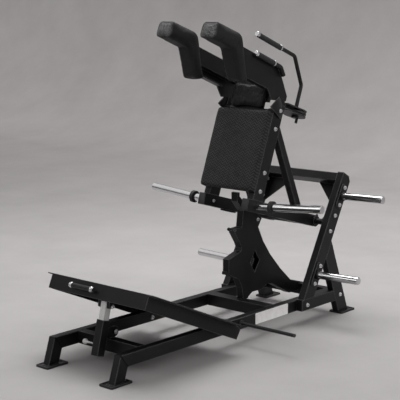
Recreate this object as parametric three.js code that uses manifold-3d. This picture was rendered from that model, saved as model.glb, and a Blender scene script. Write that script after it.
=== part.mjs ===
// V-squat machine: lever carriage with back and shoulder pads over a fixed frame, and a tilting footplate.
// Millimetres, +Z up, +X is the user's left, +Y runs from the footplate to the rear uprights.
import * as THREE from "three";
import { mergeVertices } from "three/addons/utils/BufferGeometryUtils.js";
import Module from "manifold-3d";

const wasm = await Module();
wasm.setup();

const rad = Math.PI / 180;
const straight = 89 * rad;
const group = new THREE.Group();
group.name = "v_squat_machine";

// Clearances
const seatGap = 0.3;
const runClear = 0.08;
const swingClear = 1;

// Plates and edges shared by many pieces
const edgeBreak = 2;
const softEdge = 3;
const feetThick = 8;
const footWeld = 0.5;
const flangeThick = 8;
const boltHeadRadius = 11;
const boltHeadTall = 8;
const boltSides = 6;
const roundSides = 28;
const smallSides = 16;

// Base frame
const footSpan = 2100;
const footWide = 95;
const footLong = 162;
const railInner = 243;
const railWide = 50;
const railTall = 75;
const railBottom = 90;
const railOuter = railInner + railWide;
const railTop = railBottom + railTall;
const frontFootX = 261;
const rearFootX = 318;
const frontFootY = -footSpan / 2;
const rearFootY = footSpan / 2;
const frontCornerSet = 9;
const frontCornerY = frontFootY + frontCornerSet;
const frontLegLean = 18.3 * rad;
const frontLegDeep = 76;
const railLong = 1983;
const railEndY = frontCornerY + railLong;
const frontMemberBack = 185;
const frontMemberDeep = 53;
const frontMemberY = frontCornerY + frontMemberBack;
const middleMemberBack = 1343;
const middleMemberDeep = 75;
const middleMemberY = frontCornerY + middleMemberBack;
const rearMemberDeep = 50;

// Rear A-frames
const beamBottom = 95;
const beamTall = 75;
const beamTop = beamBottom + beamTall;
const beamFrontBack = 1598;
const beamFrontY = frontCornerY + beamFrontBack;
const uprightWide = 50;
const frameOuter = railOuter + uprightWide;
const uprightFootSet = 16;
const uprightFootY = beamFrontY + uprightFootSet;
const uprightLean = 28.6 * rad;
const uprightLong = 895;
const uprightDeep = 100;
const uprightChamfer = 25;
const rearLegLean = 22.22 * rad;
const rearLegDeep = 100;
const rearLegTop = 516;
const crossbeamDrop = 4;
const crossbeamTall = 55;
const crossbeamDeep = 96;
const gussetThick = 6;
const gussetLeg = 180;
const gussetFront = 88;

// Carriage pivot
const pivotHigh = 631;
const shaftRadius = 20;
const shaftCollarRadius = 45;
const shaftCollarThick = 10;
const housingRadius = 34;
const housingOverhang = 12;

// Weight pegs on the uprights
const pegRadius = 25;
const pegReach = 327;
const pegTilt = 1.5 * rad;
const pegHeights = { upper: 801, lower: 315 };
const pegFlangeLong = 160;
const pegFlangeWide = 70;

// Centre fin with its rack head
const finWide = 50;
const finWall = 6;
const finTall = 759;
const finBottom = 116;
const finFrontSet = 1237;
const finFrontY = frontCornerY + finFrontSet;
const finLong = railEndY + rearMemberDeep - finFrontY;
const finBumperThick = 18;
const finBumperTall = 20;

// Lever arms and weight horns
const armInner = 152;
const armWide = 50;
const armOuter = armInner + armWide;
const armDeep = 75;
const armLong = 744;
const armSlope = 15.7 * rad;
const armTail = 42;
const hornAlong = 654;
const hornRadius = 25;
const hornReach = 490;
const hornRise = 4.3 * rad;
const hornSweep = 1.5 * rad;
const rodChamfer = 3;
const collarRadius = 39;
const collarThick = 22;
const collarOut = 108;

// Back frame, leaning backwards; s runs up along it and d behind the pad's front plane
const backFootFront = 706;
const backFootHigh = 281;
const backLean = 20.5 * rad;
const backTubeFront = 55;
const backTubeDeep = 100;
const backTubeTop = 550;
const backTubeRise = 50;
const braceDeep = 50;
const braceTopUp = 462;
const braceFootBack = 140;
const crossTubeUp = 500;
const crossTubeTall = 50;
const crossTubeDeep = 50;

// Cushions
const backPadHalf = 216;
const backPadLong = 533;
const backPadThick = 43;
const backPadCrown = 5;
const backPadCorner = 34;
const boardInset = 14;
const neckPadHalf = 136;
const neckPadUp = 542;
const neckPadLong = 163;
const neckPadThick = 50;
const neckPadCrown = 10;
const neckPadCorner = 26;
const neckBoardThick = 8;
const neckBoardHalf = 120;
const neckBoardLap = 29.5;
const shoulderInner = 115;
const shoulderWide = 120;
const shoulderCrown = 4;
const shoulderRound = 20;
const shoulderDraw = 10;
const cushionEdge = 14;

// Shoulder yoke
const yokePlateThick = 8;
const yokeUp = 593;
const yokeTall = 215;
const yokeFront = 415;
const yokeTubeSet = 110;
const yokeTubeUp = yokeUp + yokeTubeSet;
const yokeTubeTall = 102;
const yokeTongue = 63;
const yokeTongueWide = 60;
const yokeTongueBack = 76;
const yokeLipWide = 40;

// Swing handles
const handleX = 177;
const handleRadius = 12.5;
const handleBack = 306;
const handleFoot = 566;
const handleKnee = 784;
const handleTop = 936;
const handleKneeBack = 168;
const handleReach = 250;
const handleBend = 34;
const gripRadius = 17;
const handleGripLong = 235;
const gripCapLong = 18;
const gripRingRadius = 19;
const gripRingThick = 8;
const plateStack = 18;
const plateStackThick = 8;
const plateStackUp = 578;
const discRadius = 74;
const bracketHalf = 46;
const stopPinRadius = 9;
const stopPinLong = 40;
const stopPinSet = 34;
const plateSweep = 11.5 * rad;

// Short fixed grips
const sideGripRadius = 14;
const sideGripUnder = 4;
const sideGripUp = yokeUp + yokeTall - sideGripUnder;
const sideGripFall = 42;
const sideGripFootBack = 34;
const sideGripKneeBack = -12;
const sideGripX = armOuter + yokePlateThick + gripRingRadius + swingClear;
const sideGripBossRadius = 8;
const sideGripBossShares = [0.25, 0.62];
const sideGripRing = 91;
const sideGripLong = 171;

// Footplate tray
const trayHalf = 391;
const trayWall = 6;
const trayLedge = 40;
const trayPlateRise = 4;
const traySlope = 23.4 * rad;
const trayFrontSet = 59;
const trayTall = 84;
const trayPivotHigh = 127;
const trayPivotSet = 838;
const trayPivotY = frontCornerY + trayPivotSet;
const trayPivotUp = 55;
const trayPivotIn = 5;
const trayTailLong = 60;
const trayTailDrop = 21;
const trayTailUnder = 48;
const trayPinRadius = 10;
const trayBushRadius = 16;
const trayBossRadius = 22;
const trayBossLong = 24;
const trayLugThick = 24;
const trayLugUnder = 10;
const ribWide = 40;
const ribTall = 30;
const ribX = 190;
const ribRearSet = 90;
const frontGripRadius = 14;
const frontGripOut = 28;
const frontGripDrop = 40;
const frontGripCentre = -98;
const frontGripSpan = 176;
const frontGripOver = 8;
const standRadius = 8;

// Telescopic post under the tray
const postLean = 14.7 * rad;
const postOuterSize = 55;
const postInnerSize = 44;
const postWallClear = 0.5;
const postFootHigh = 82;
const postOuterLong = 206;
const postInnerTop = 312;
const postInnerFoot = 30;
const postFrontSet = 83;
const postHingeBack = 131;
const postHingeHigh = 200;
const postHingeRadius = 6;
const lugThick = 8;
const lugHalf = 16;
const lugRound = 28;
const earThick = 6;
const earHalf = 31;
const postTopAlong = 290;
const postTopSlack = 3;
const postTopRadius = 6;
const pinAlong = 62;
const pinRadius = 6;
const pinReach = 70;
const knobRadius = 17;
const knobSink = 14;
const knobShares = [0.2, 0.45, 0.7, 0.9];
const pinBossRadius = 12;
const pinBossLong = 14;

// Rods for elastic bands
const bandRodRadius = 11;
const bandRodReach = 410;
const bandRodBack = 1033;
const bandRodHigh = 130;
const bandRodFlange = 20;
const bandRodFlangeThick = 6;

const pivot = (() => {
  const middle = [uprightFootY, beamTop];
  const up = [Math.sin(uprightLean), Math.cos(uprightLean)];
  const across = [Math.cos(uprightLean), -Math.sin(uprightLean)];
  const start = step(middle, across, uprightDeep / 2);
  return step(start, up, (pivotHigh - start[1]) / up[1]);
})();

// Plane helpers, points are [y, z]
function step(point, direction, distance) {
  return [point[0] + direction[0] * distance, point[1] + direction[1] * distance];
}

function meet(p, d, q, e) {
  const turn = d[0] * e[1] - d[1] * e[0];
  const t = ((q[0] - p[0]) * e[1] - (q[1] - p[1]) * e[0]) / turn;
  return step(p, d, t);
}

function between(p, q) {
  const length = Math.hypot(q[0] - p[0], q[1] - p[1]);
  return [(q[0] - p[0]) / length, (q[1] - p[1]) / length];
}

function roundCorners(points, radius, steps = 3) {
  const out = [];
  points.forEach((corner, i) => {
    const before = points[(i + points.length - 1) % points.length];
    const after = points[(i + 1) % points.length];
    const a = between(corner, before);
    const b = between(corner, after);
    const r = Array.isArray(radius) ? radius[i] : radius;
    const half = Math.acos(Math.max(-1, Math.min(1, a[0] * b[0] + a[1] * b[1]))) / 2;
    if (r <= 0 || half > straight) {
      out.push(corner);
      return;
    }
    const reach = r / Math.tan(half);
    const middle = between([0, 0], [a[0] + b[0], a[1] + b[1]]);
    const centre = step(corner, middle, r / Math.sin(half));
    const from = step(corner, a, reach);
    const to = step(corner, b, reach);
    const start = Math.atan2(from[1] - centre[1], from[0] - centre[0]);
    let sweep = Math.atan2(to[1] - centre[1], to[0] - centre[0]) - start;
    sweep = Math.atan2(Math.sin(sweep), Math.cos(sweep));
    for (let k = 0; k <= steps; k++) {
      const angle = start + (sweep * k) / steps;
      out.push([centre[0] + r * Math.cos(angle), centre[1] + r * Math.sin(angle)]);
    }
  });
  return out;
}

function area(points) {
  return THREE.ShapeUtils.area(points.map(([y, z]) => new THREE.Vector2(y, z)));
}

function offset(points, amount) {
  const turn = area(points) > 0 ? 1 : -1;
  return points.map((p, i) => {
    const a = between(points[(i + points.length - 1) % points.length], p);
    const b = between(p, points[(i + 1) % points.length]);
    const normal = between([0, 0], [(a[1] + b[1]) * turn, -(a[0] + b[0]) * turn]);
    const lean = Math.max(normal[0] * a[1] * turn - normal[1] * a[0] * turn, 1 / 2);
    return step(p, normal, amount / lean);
  });
}

// Solid helpers
function closed(geometry) {
  geometry.deleteAttribute("uv");
  geometry.deleteAttribute("normal");
  const welded = mergeVertices(geometry, seatGap / 100);
  const place = welded.attributes.position;
  const index = welded.index.array;
  let volume = 0;
  const a = new THREE.Vector3();
  const b = new THREE.Vector3();
  const c = new THREE.Vector3();
  for (let i = 0; i < index.length; i += 3) {
    a.fromBufferAttribute(place, index[i]);
    b.fromBufferAttribute(place, index[i + 1]);
    c.fromBufferAttribute(place, index[i + 2]);
    volume += a.dot(b.cross(c));
  }
  if (volume < 0) {
    for (let i = 0; i < index.length; i += 3) {
      [index[i], index[i + 1]] = [index[i + 1], index[i]];
    }
  }
  return welded;
}

function prism(points, xa, xb, bevel = 0, holes = []) {
  const shape = new THREE.Shape(points.map(([y, z]) => new THREE.Vector2(y, z)));
  for (const hole of holes) {
    shape.holes.push(new THREE.Path(hole.map(([y, z]) => new THREE.Vector2(y, z))));
  }
  const low = Math.min(xa, xb);
  const wide = Math.abs(xb - xa);
  const geometry = new THREE.ExtrudeGeometry(shape, {
    depth: wide - 2 * bevel,
    steps: 1,
    bevelEnabled: bevel > 0,
    bevelSize: bevel,
    bevelThickness: bevel,
    bevelOffset: -bevel,
    bevelSegments: 1,
    curveSegments: 1,
  });
  const frame = new THREE.Matrix4().makeBasis(
    new THREE.Vector3(0, 1, 0),
    new THREE.Vector3(0, 0, 1),
    new THREE.Vector3(1, 0, 0),
  );
  geometry.applyMatrix4(frame);
  geometry.translate(low + bevel, 0, 0);
  return closed(geometry);
}

function block(x, y, z, bevel = edgeBreak) {
  return prism([[y[0], z[0]], [y[1], z[0]], [y[1], z[1]], [y[0], z[1]]], x[0], x[1], bevel);
}

function bar(from, to, deep) {
  const u = between(from, to);
  const n = [-u[1], u[0]];
  return [step(from, n, -deep / 2), step(to, n, -deep / 2), step(to, n, deep / 2), step(from, n, deep / 2)];
}

function circle(centre, radius, sides = roundSides) {
  const out = [];
  for (let k = 0; k < sides; k++) {
    const angle = (2 * Math.PI * (k + 1 / 2)) / sides;
    out.push([centre[0] + radius * Math.cos(angle), centre[1] + radius * Math.sin(angle)]);
  }
  return out;
}

function bore(centre, radius, clear, sides = roundSides) {
  return circle(centre, (radius + clear) / Math.cos(Math.PI / sides), sides);
}

function turned(from, to, profile, sides = roundSides) {
  const start = new THREE.Vector3(...from);
  const line = new THREE.Vector3(...to).sub(start).normalize();
  const points = profile.map(([radius, along]) => new THREE.Vector2(radius, along));
  const geometry = new THREE.LatheGeometry(points, sides);
  geometry.applyQuaternion(new THREE.Quaternion().setFromUnitVectors(new THREE.Vector3(0, 1, 0), line));
  geometry.translate(...from);
  return closed(geometry);
}

function pin(from, to, radius, sides = roundSides, chamfer = 0) {
  const long = Math.hypot(to[0] - from[0], to[1] - from[1], to[2] - from[2]);
  const profile = [[0, 0], [radius, 0], [radius, long - chamfer], [radius - chamfer, long], [0, long]];
  if (chamfer === 0) {
    profile.splice(3, 1);
  }
  return turned(from, to, profile, sides);
}

function loft(rings, flatEnds = false) {
  const count = rings[0].length;
  const points = rings.flat();
  const index = [];
  for (let r = 0; r + 1 < rings.length; r++) {
    for (let k = 0; k < count; k++) {
      const a = r * count + k;
      const b = r * count + ((k + 1) % count);
      index.push(a, b, b + count, a, b + count, a + count);
    }
  }
  const last = (rings.length - 1) * count;
  if (flatEnds) {
    const flat = rings[0].map(([, y, z]) => new THREE.Vector2(y, z));
    for (const [a, b, c] of THREE.ShapeUtils.triangulateShape(flat, [])) {
      index.push(c, b, a, last + a, last + b, last + c);
    }
    if (area(rings[0].map(([, y, z]) => [y, z])) < 0) {
      throw new Error("ring runs clockwise");
    }
  } else {
    for (const base of [0, last]) {
      const centre = [0, 1, 2].map((axis) => {
        return points.slice(base, base + count).reduce((sum, p) => sum + p[axis], 0) / count;
      });
      points.push(centre);
      for (let k = 0; k < count; k++) {
        const a = base + k;
        const b = base + ((k + 1) % count);
        index.push(...(base === 0 ? [b, a, points.length - 1] : [a, b, points.length - 1]));
      }
    }
  }
  const geometry = new THREE.BufferGeometry();
  geometry.setAttribute("position", new THREE.Float32BufferAttribute(points.flat(), 3));
  geometry.setIndex(index);
  return closed(geometry);
}

function pipe(points, x, radius, bend, sides = smallSides) {
  const stations = [];
  points.forEach((corner, i) => {
    if (i === 0 || i === points.length - 1) {
      const other = i === 0 ? points[1] : points[i - 1];
      stations.push([corner, i === 0 ? between(corner, other) : between(other, corner)]);
      return;
    }
    const into = between(points[i - 1], corner);
    const out = between(corner, points[i + 1]);
    const turn = Math.atan2(into[0] * out[1] - into[1] * out[0], into[0] * out[0] + into[1] * out[1]);
    const side = Math.sign(turn);
    const start = step(corner, into, -bend * Math.tan(Math.abs(turn) / 2));
    const centre = step(start, [-into[1] * side, into[0] * side], bend);
    const steps = 4;
    for (let k = 0; k <= steps; k++) {
      const angle = (turn * k) / steps;
      const arm = [start[0] - centre[0], start[1] - centre[1]];
      const c = Math.cos(angle);
      const s = Math.sin(angle);
      stations.push([
        [centre[0] + arm[0] * c - arm[1] * s, centre[1] + arm[0] * s + arm[1] * c],
        [into[0] * c - into[1] * s, into[0] * s + into[1] * c],
      ]);
    }
  });
  const rings = stations.map(([p, t]) => {
    const ring = [];
    for (let k = 0; k < sides; k++) {
      const angle = (2 * Math.PI * k) / sides;
      const side = radius * Math.cos(angle);
      ring.push([x + radius * Math.sin(angle), p[0] - t[1] * side, p[1] + t[0] * side]);
    }
    return ring;
  });
  return loft(rings);
}

function toManifold(geometry) {
  return new wasm.Manifold(new wasm.Mesh({
    numProp: 3,
    vertProperties: Float32Array.from(geometry.attributes.position.array),
    triVerts: Uint32Array.from(geometry.index.array),
  }));
}

function fromManifold(solid) {
  const mesh = solid.getMesh();
  const geometry = new THREE.BufferGeometry();
  geometry.setAttribute("position", new THREE.BufferAttribute(Float32Array.from(mesh.vertProperties), 3));
  geometry.setIndex(new THREE.BufferAttribute(Uint32Array.from(mesh.triVerts), 1));
  return geometry;
}

function join(...pieces) {
  return fromManifold(pieces.map(toManifold).reduce((sum, piece) => sum.add(piece)));
}

function cut(piece, ...tools) {
  return fromManifold(tools.map(toManifold).reduce((rest, tool) => rest.subtract(tool), toManifold(piece)));
}

function add(name, geometry, material) {
  geometry.computeVertexNormals();
  const mesh = new THREE.Mesh(geometry, material);
  mesh.name = name;
  group.add(mesh);
  return mesh;
}

function sides(make) {
  return [make(1, "left"), make(-1, "right")];
}

// Materials
const paint = new THREE.MeshStandardMaterial({ color: 0x1b1b1c, roughness: 0.55, metalness: 0.3 });
const chrome = new THREE.MeshStandardMaterial({ color: 0xd8d8d8, roughness: 0.15, metalness: 1 });
const steel = new THREE.MeshStandardMaterial({ color: 0xa8a9ab, roughness: 0.35, metalness: 1 });
const rubber = new THREE.MeshStandardMaterial({ color: 0x0d0d0d, roughness: 0.8, metalness: 0 });
const leather = new THREE.MeshStandardMaterial({ color: 0x18181a, roughness: 0.5, metalness: 0 });

// Floor plate welded under a leg
function footPlate(x, y) {
  const wide = [x - footWide / 2, x + footWide / 2];
  return block(wide, [y - footLong / 2, y + footLong / 2], [0, feetThick + footWeld], edgeBreak);
}

// Base rails and front legs, mitred where they meet
function buildBase() {
  const down = [-Math.sin(frontLegLean), -Math.cos(frontLegLean)];
  const corner = [frontCornerY, railTop];
  const legBack = [frontCornerY + frontLegDeep / Math.cos(frontLegLean), railTop];
  const inner = meet(legBack, down, [0, railBottom], [1, 0]);
  const mitreGap = seatGap / Math.cos(Math.atan2(inner[0] - corner[0], railTall));
  const floor = [[0, feetThick], [1, 0]];
  const leg = [corner, inner, meet(legBack, down, ...floor), meet(corner, down, ...floor)];
  const rail = [
    [corner[0] + mitreGap, railTop],
    [inner[0] + mitreGap, railBottom],
    [railEndY, railBottom],
    [railEndY, railTop],
  ];
  sides((side, word) => {
    add(`rail_${word}`, prism(rail, side * railInner, side * railOuter, softEdge), paint);
  });
  sides((side, word) => {
    const tube = prism(leg, side * railInner, side * railOuter, softEdge);
    add(`front_leg_${word}`, join(tube, footPlate(side * frontFootX, frontFootY)), paint);
  });
  const tall = [railBottom, railTop];
  const member = (name, half, y, deep) => {
    add(name, block([-half, half], [y, y + deep], tall, edgeBreak), paint);
  };
  member("front_cross_member", railInner, frontMemberY, frontMemberDeep);
  member("middle_cross_member", railInner, middleMemberY, middleMemberDeep);
  member("rear_cross_member", railOuter, railEndY, rearMemberDeep);
}

// Raked uprights, rear legs and the beams that carry them
function buildAFrames() {
  const up = [Math.sin(uprightLean), Math.cos(uprightLean)];
  const across = [Math.cos(uprightLean), -Math.sin(uprightLean)];
  const frontFoot = [uprightFootY, beamTop];
  const frontTop = step(frontFoot, up, uprightLong);
  const rearLine = step(frontFoot, across, uprightDeep);
  const rearTop = step(frontTop, across, uprightDeep);
  const rearFoot = meet(rearLine, up, frontFoot, [1, 0]);
  const flatTop = step(frontTop, across, uprightDeep - uprightChamfer);
  const upright = [frontFoot, rearFoot, step(rearTop, up, -uprightChamfer), flatTop, frontTop];
  sides((side, word) => {
    add(`upright_${word}`, prism(upright, side * railOuter, side * frameOuter, softEdge), paint);
  });

  const down = [Math.sin(rearLegLean), -Math.cos(rearLegLean)];
  const gapLine = step(rearLine, across, seatGap);
  const outerTop = meet(gapLine, up, [0, rearLegTop], [1, 0]);
  const legSpan = rearLegDeep / Math.cos(rearLegLean);
  const innerTop = meet(gapLine, up, [outerTop[0] - legSpan, rearLegTop], down);
  const floor = [[0, feetThick], [1, 0]];
  const outerFoot = meet(outerTop, down, ...floor);
  const innerFoot = meet(innerTop, down, ...floor);
  const leg = [innerTop, innerFoot, outerFoot, outerTop];
  sides((side, word) => {
    const tube = prism(leg, side * railOuter, side * frameOuter, softEdge);
    add(`rear_leg_${word}`, join(tube, footPlate(side * rearFootX, rearFootY)), paint);
  });

  const shift = seatGap / Math.cos(rearLegLean);
  const beamLowEnd = meet([innerTop[0] - shift, innerTop[1]], down, [0, beamBottom], [1, 0]);
  const beamHighEnd = meet([innerTop[0] - shift, innerTop[1]], down, [0, beamTop], [1, 0]);
  const beam = [[beamFrontY, beamBottom], beamLowEnd, beamHighEnd, [beamFrontY, beamTop]];
  sides((side, word) => {
    add(`side_beam_${word}`, prism(beam, side * railOuter, side * frameOuter, softEdge), paint);
  });

  const beamHigh = step(frontTop, up, -crossbeamDrop);
  const beamLow = step(beamHigh, up, -crossbeamTall);
  const beamBack = [beamLow, beamHigh].map((corner) => step(corner, across, crossbeamDeep));
  const beamSquare = [beamHigh, beamLow, ...beamBack];
  const crossbeam = prism(roundCorners(beamSquare, softEdge, 1), -railOuter, railOuter);

  // Triangular plates between the crossbeam and each upright, in the uprights' plane
  const gussets = sides((side) => {
    const under = step(step(beamLow, up, edgeBreak), across, gussetFront);
    const x = side * railOuter;
    const corners = [[x, 0], [x - side * gussetLeg, 0], [x, gussetLeg]];
    const rings = [-gussetThick / 2, gussetThick / 2].map((through) => corners.map(([px, drop]) => {
      const p = step(step(under, up, -drop), across, through);
      return [px, p[0], p[1]];
    }));
    return loft(rings);
  });
  add("top_crossbeam", join(crossbeam, ...gussets), paint);

  // Fixed shaft that the carriage turns on, with a bolted collar at each upright
  const shaft = turned([-railOuter, ...pivot], [railOuter, ...pivot], [
    [0, 0],
    [shaftCollarRadius, 0],
    [shaftCollarRadius, shaftCollarThick],
    [shaftRadius, shaftCollarThick],
    [shaftRadius, 2 * railOuter - shaftCollarThick],
    [shaftCollarRadius, 2 * railOuter - shaftCollarThick],
    [shaftCollarRadius, 2 * railOuter],
    [0, 2 * railOuter],
  ]);
  add("pivot_shaft", shaft, steel);

  // Pegs for spare plates, on bolted flanges along each upright
  const axis = step(frontFoot, across, uprightDeep / 2);
  for (const [level, high] of Object.entries(pegHeights)) {
    const centre = step(axis, up, (high - axis[1]) / up[1]);
    const ends = [step(centre, up, -pegFlangeLong / 2), step(centre, up, pegFlangeLong / 2)];
    const plate = roundCorners(bar(...ends, pegFlangeWide), pegFlangeWide / 4, 3);
    sides((side, word) => {
      const face = side * (frameOuter + flangeThick);
      const flange = prism(plate, side * frameOuter, face, edgeBreak);
      const root = face - side * edgeBreak;
      const peg = slantRod(root, centre, side, pegReach - flangeThick + edgeBreak, pegTilt, 0, pegRadius);
      add(`${level}_peg_${word}`, join(flange, peg), chrome);
    });
  }
}

// Round bar that starts flat on a side plane and ends square
function slantRod(x, [y, z], side, reach, rise, sweep, radius) {
  const line = new THREE.Vector3(
    side * Math.cos(rise) * Math.cos(sweep),
    Math.cos(rise) * Math.sin(sweep),
    Math.sin(rise),
  );
  const long = reach / Math.abs(line.x);
  const first = new THREE.Vector3(0, 0, 1).cross(line).normalize();
  const second = line.clone().cross(first);
  const start = new THREE.Vector3(x, y, z);
  const ends = [[0, radius], [long - rodChamfer, radius], [long, radius - rodChamfer]];
  const rings = ends.map(([along, r], k) => {
    const ring = [];
    for (let i = 0; i < roundSides; i++) {
      const angle = (2 * Math.PI * i) / roundSides;
      const p = start.clone().addScaledVector(line, along);
      p.addScaledVector(first, r * Math.cos(angle)).addScaledVector(second, r * Math.sin(angle));
      if (k === 0) {
        p.addScaledVector(line, (x - p.x) / line.x);
      }
      ring.push(p.toArray());
    }
    return ring;
  });
  return loft(rings);
}

// Centre fin: two plates over a bent edge band, with a rack head at the top
const finFaceShares = [
  [0.103, 1], [0.103, 0.924], [0.18, 0.834], [0.163, 0.697], [0.072, 0.693], [0.063, 0.68],
  [0.08, 0.652], [0.138, 0.565], [0.16, 0.519], [0.153, 0.491], [0.117, 0.48], [0, 0.443], [0, 0.315],
  [0.038, 0.298], [0.127, 0.254], [0.172, 0.167], [0.183, 0.086],
];
const finArchShares = [
  [0.249, 0.075], [0.304, 0.108], [0.426, 0.107], [0.504, 0.144], [0.565, 0.134], [0.809, 0],
];
const finBackShares = [
  [0.829, 0.115], [0.675, 0.254], [0.534, 0.407], [0.442, 0.534], [0.374, 0.669], [0.418, 0.737],
  [0.347, 0.809], [0.246, 0.888], [0.158, 0.941], [0.133, 0.962], [0.131, 1],
];
const finCutShares = [[0.334, 0.473], [0.397, 0.374], [0.334, 0.275], [0.271, 0.374]];

function buildFin() {
  const at = ([ys, zs]) => [finFrontY + ys * finLong, finBottom + zs * finTall];
  const outline = [
    ...finFaceShares.map(at),
    [at(finFaceShares.at(-1))[0], railTop],
    [at(finArchShares[0])[0], railTop],
    ...finArchShares.map(at),
    [railEndY, finBottom],
    [railEndY, railTop],
    [railEndY + rearMemberDeep, railTop],
    ...finBackShares.map(at),
  ];
  const opening = finCutShares.map(at);
  const inner = finWide / 2 - finWall;
  const plates = sides((side) => prism(outline, side * inner, (side * finWide) / 2, 0, [opening]));
  const band = prism(outline, -inner - finWall / 2, inner + finWall / 2, 0, [offset(outline, -finWall)]);
  add("centre_fin", join(...plates, band), paint);
  const front = [finFrontY - finBumperThick, finFrontY];
  const low = at(finFaceShares[12])[1];
  const bumper = block([-inner, inner], front, [low, low + finBumperTall], edgeBreak);
  add("fin_bumper", bumper, rubber);
}

// Rods for elastic bands, one on each rail
function buildBandRods() {
  const y = frontCornerY + bandRodBack;
  const make = (side) => turned([side * railOuter, y, bandRodHigh], [side * frameOuter, y, bandRodHigh], [
    [0, 0],
    [bandRodFlange, 0],
    [bandRodFlange, bandRodFlangeThick],
    [bandRodRadius, bandRodFlangeThick],
    [bandRodRadius, bandRodReach - edgeBreak],
    [bandRodRadius - edgeBreak, bandRodReach],
    [0, bandRodReach],
  ], smallSides);
  sides((side, word) => add(`band_rod_${word}`, make(side), chrome));
}

// Places on the lever arm: t runs forward from the pivot and n upward from its centreline
function onArm(t, n) {
  return [
    pivot[0] - t * Math.cos(armSlope) + n * Math.sin(armSlope),
    pivot[1] + t * Math.sin(armSlope) + n * Math.cos(armSlope),
  ];
}

// Places on the back frame
function onBack(s, d) {
  return [
    pivot[0] - backFootFront + s * Math.sin(backLean) + d * Math.cos(backLean),
    pivot[1] + backFootHigh + s * Math.cos(backLean) - d * Math.sin(backLean),
  ];
}
const backUp = [Math.sin(backLean), Math.cos(backLean)];
const backBehind = [Math.cos(backLean), -Math.sin(backLean)];
const armForward = [-Math.cos(armSlope), Math.sin(armSlope)];

// Lever arms on their pivot tube, with horns for weight plates
function buildLeverArms() {
  const half = armDeep / 2;
  const arm = [
    onArm(-armTail + half / 2, -half),
    onArm(-armTail, -half / 2),
    onArm(-armTail, half / 2),
    onArm(-armTail + half / 2, half),
    onArm(armLong, half),
    onArm(armLong, -half),
  ];
  const hole = bore(pivot, housingRadius, runClear + seatGap / 2);
  sides((side, word) => {
    const holes = [hole];
    add(`lever_arm_${word}`, prism(arm, side * armInner, side * armOuter, 0, holes), paint);
  });
  const reach = armOuter + housingOverhang;
  const wall = [...circle(pivot, housingRadius)];
  const inside = bore(pivot, shaftRadius, runClear);
  add("pivot_housing", prism(wall, -reach, reach, 0, [inside]), paint);

  const root = onArm(hornAlong, 0);
  const level = Math.cos(hornRise);
  const line = [level * Math.cos(hornSweep), level * Math.sin(hornSweep), Math.sin(hornRise)];
  sides((side, word) => {
    const horn = slantRod(side * armOuter, root, side, hornReach, hornRise, hornSweep, hornRadius);
    add(`weight_horn_${word}`, horn, chrome);
    const point = (out) => [
      side * (armOuter + out * line[0]),
      root[0] + out * line[1],
      root[1] + out * line[2],
    ];
    const inner = hornRadius + seatGap;
    const collar = turned(point(collarOut), point(collarOut + collarThick), [
      [inner, 0],
      [collarRadius, 0],
      [collarRadius, collarThick],
      [inner, collarThick],
      [inner, 0],
    ]);
    add(`horn_collar_${word}`, collar, rubber);
  });
}

// Back uprights, braces and the tube across them
function buildBackFrame() {
  const half = armDeep / 2;
  const armTop = onArm(0, half + seatGap);
  const frontFoot = meet(onBack(0, backTubeFront), backUp, armTop, armForward);
  const rearFace = backTubeFront + backTubeDeep;
  const rearFoot = meet(onBack(0, rearFace), backUp, armTop, armForward);
  const upright = [
    frontFoot,
    onBack(backTubeTop, backTubeFront),
    onBack(backTubeTop + backTubeRise, rearFace),
    rearFoot,
  ];
  sides((side, word) => {
    add(`back_upright_${word}`, prism(upright, side * armInner, side * armOuter, softEdge), paint);
  });

  const braceTop = onBack(braceTopUp, rearFace + seatGap);
  const braceFoot = meet([pivot[0] - braceFootBack, 0], [0, 1], armTop, armForward);
  const down = between(braceTop, braceFoot);
  const inward = [down[1], -down[0]];
  const innerTop = meet(step(braceTop, inward, braceDeep), down, onBack(0, rearFace + seatGap), backUp);
  const innerFoot = meet(step(braceTop, inward, braceDeep), down, armTop, armForward);
  const brace = [braceTop, braceFoot, innerFoot, innerTop];
  sides((side, word) => {
    add(`brace_${word}`, prism(brace, side * armInner, side * armOuter, softEdge), paint);
  });

  const low = crossTubeUp;
  const near = neckPadThick + seatGap + neckBoardThick + seatGap;
  const square = [
    onBack(low, near),
    onBack(low, near + crossTubeDeep),
    onBack(low + crossTubeTall, near + crossTubeDeep),
    onBack(low + crossTubeTall, near),
  ];
  add("back_cross_tube", prism(roundCorners(square, softEdge, 1), -armInner, armInner), paint);
}

// Cushion as a stack of rounded rectangles through its thickness; map takes (across, along, rise).
// Each ring: inset in edges, then rise in thicknesses, edges and crowns.
const cushionRingShares = [
  [0.3, 0, 0, 0], [0.15, 0.15, 0, 0], [0, 0.5, 0, 0], [0.15, 1, -1, 0],
  [0.35, 1, -0.4, 0], [1, 1, 0, 0], [2.6, 1, 0, 0.5], [5, 1, 0, 0.85],
];

function cushion(half, long, thick, crown, map, corner) {
  const rings = cushionRingShares.map(([insetShare, thickShare, edgeShare, crownShare]) => {
    const inset = insetShare * cushionEdge;
    const rise = thickShare * thick + edgeShare * cushionEdge + crownShare * crown;
    const box = [
      [-half + inset, inset],
      [half - inset, inset],
      [half - inset, long - inset],
      [-half + inset, long - inset],
    ];
    return roundCorners(box, Math.max(corner - inset, edgeBreak), 4).map(([x, y]) => map(x, y, rise));
  });
  return loft(rings);
}

// Cushion as outlines stacked along X, drawn in at both ends and crowned in the middle
const drawnShares = [[-1, -1], [-0.97, -0.45], [-0.88, -0.08], [-0.6, 0], [0, 0]];

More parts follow.
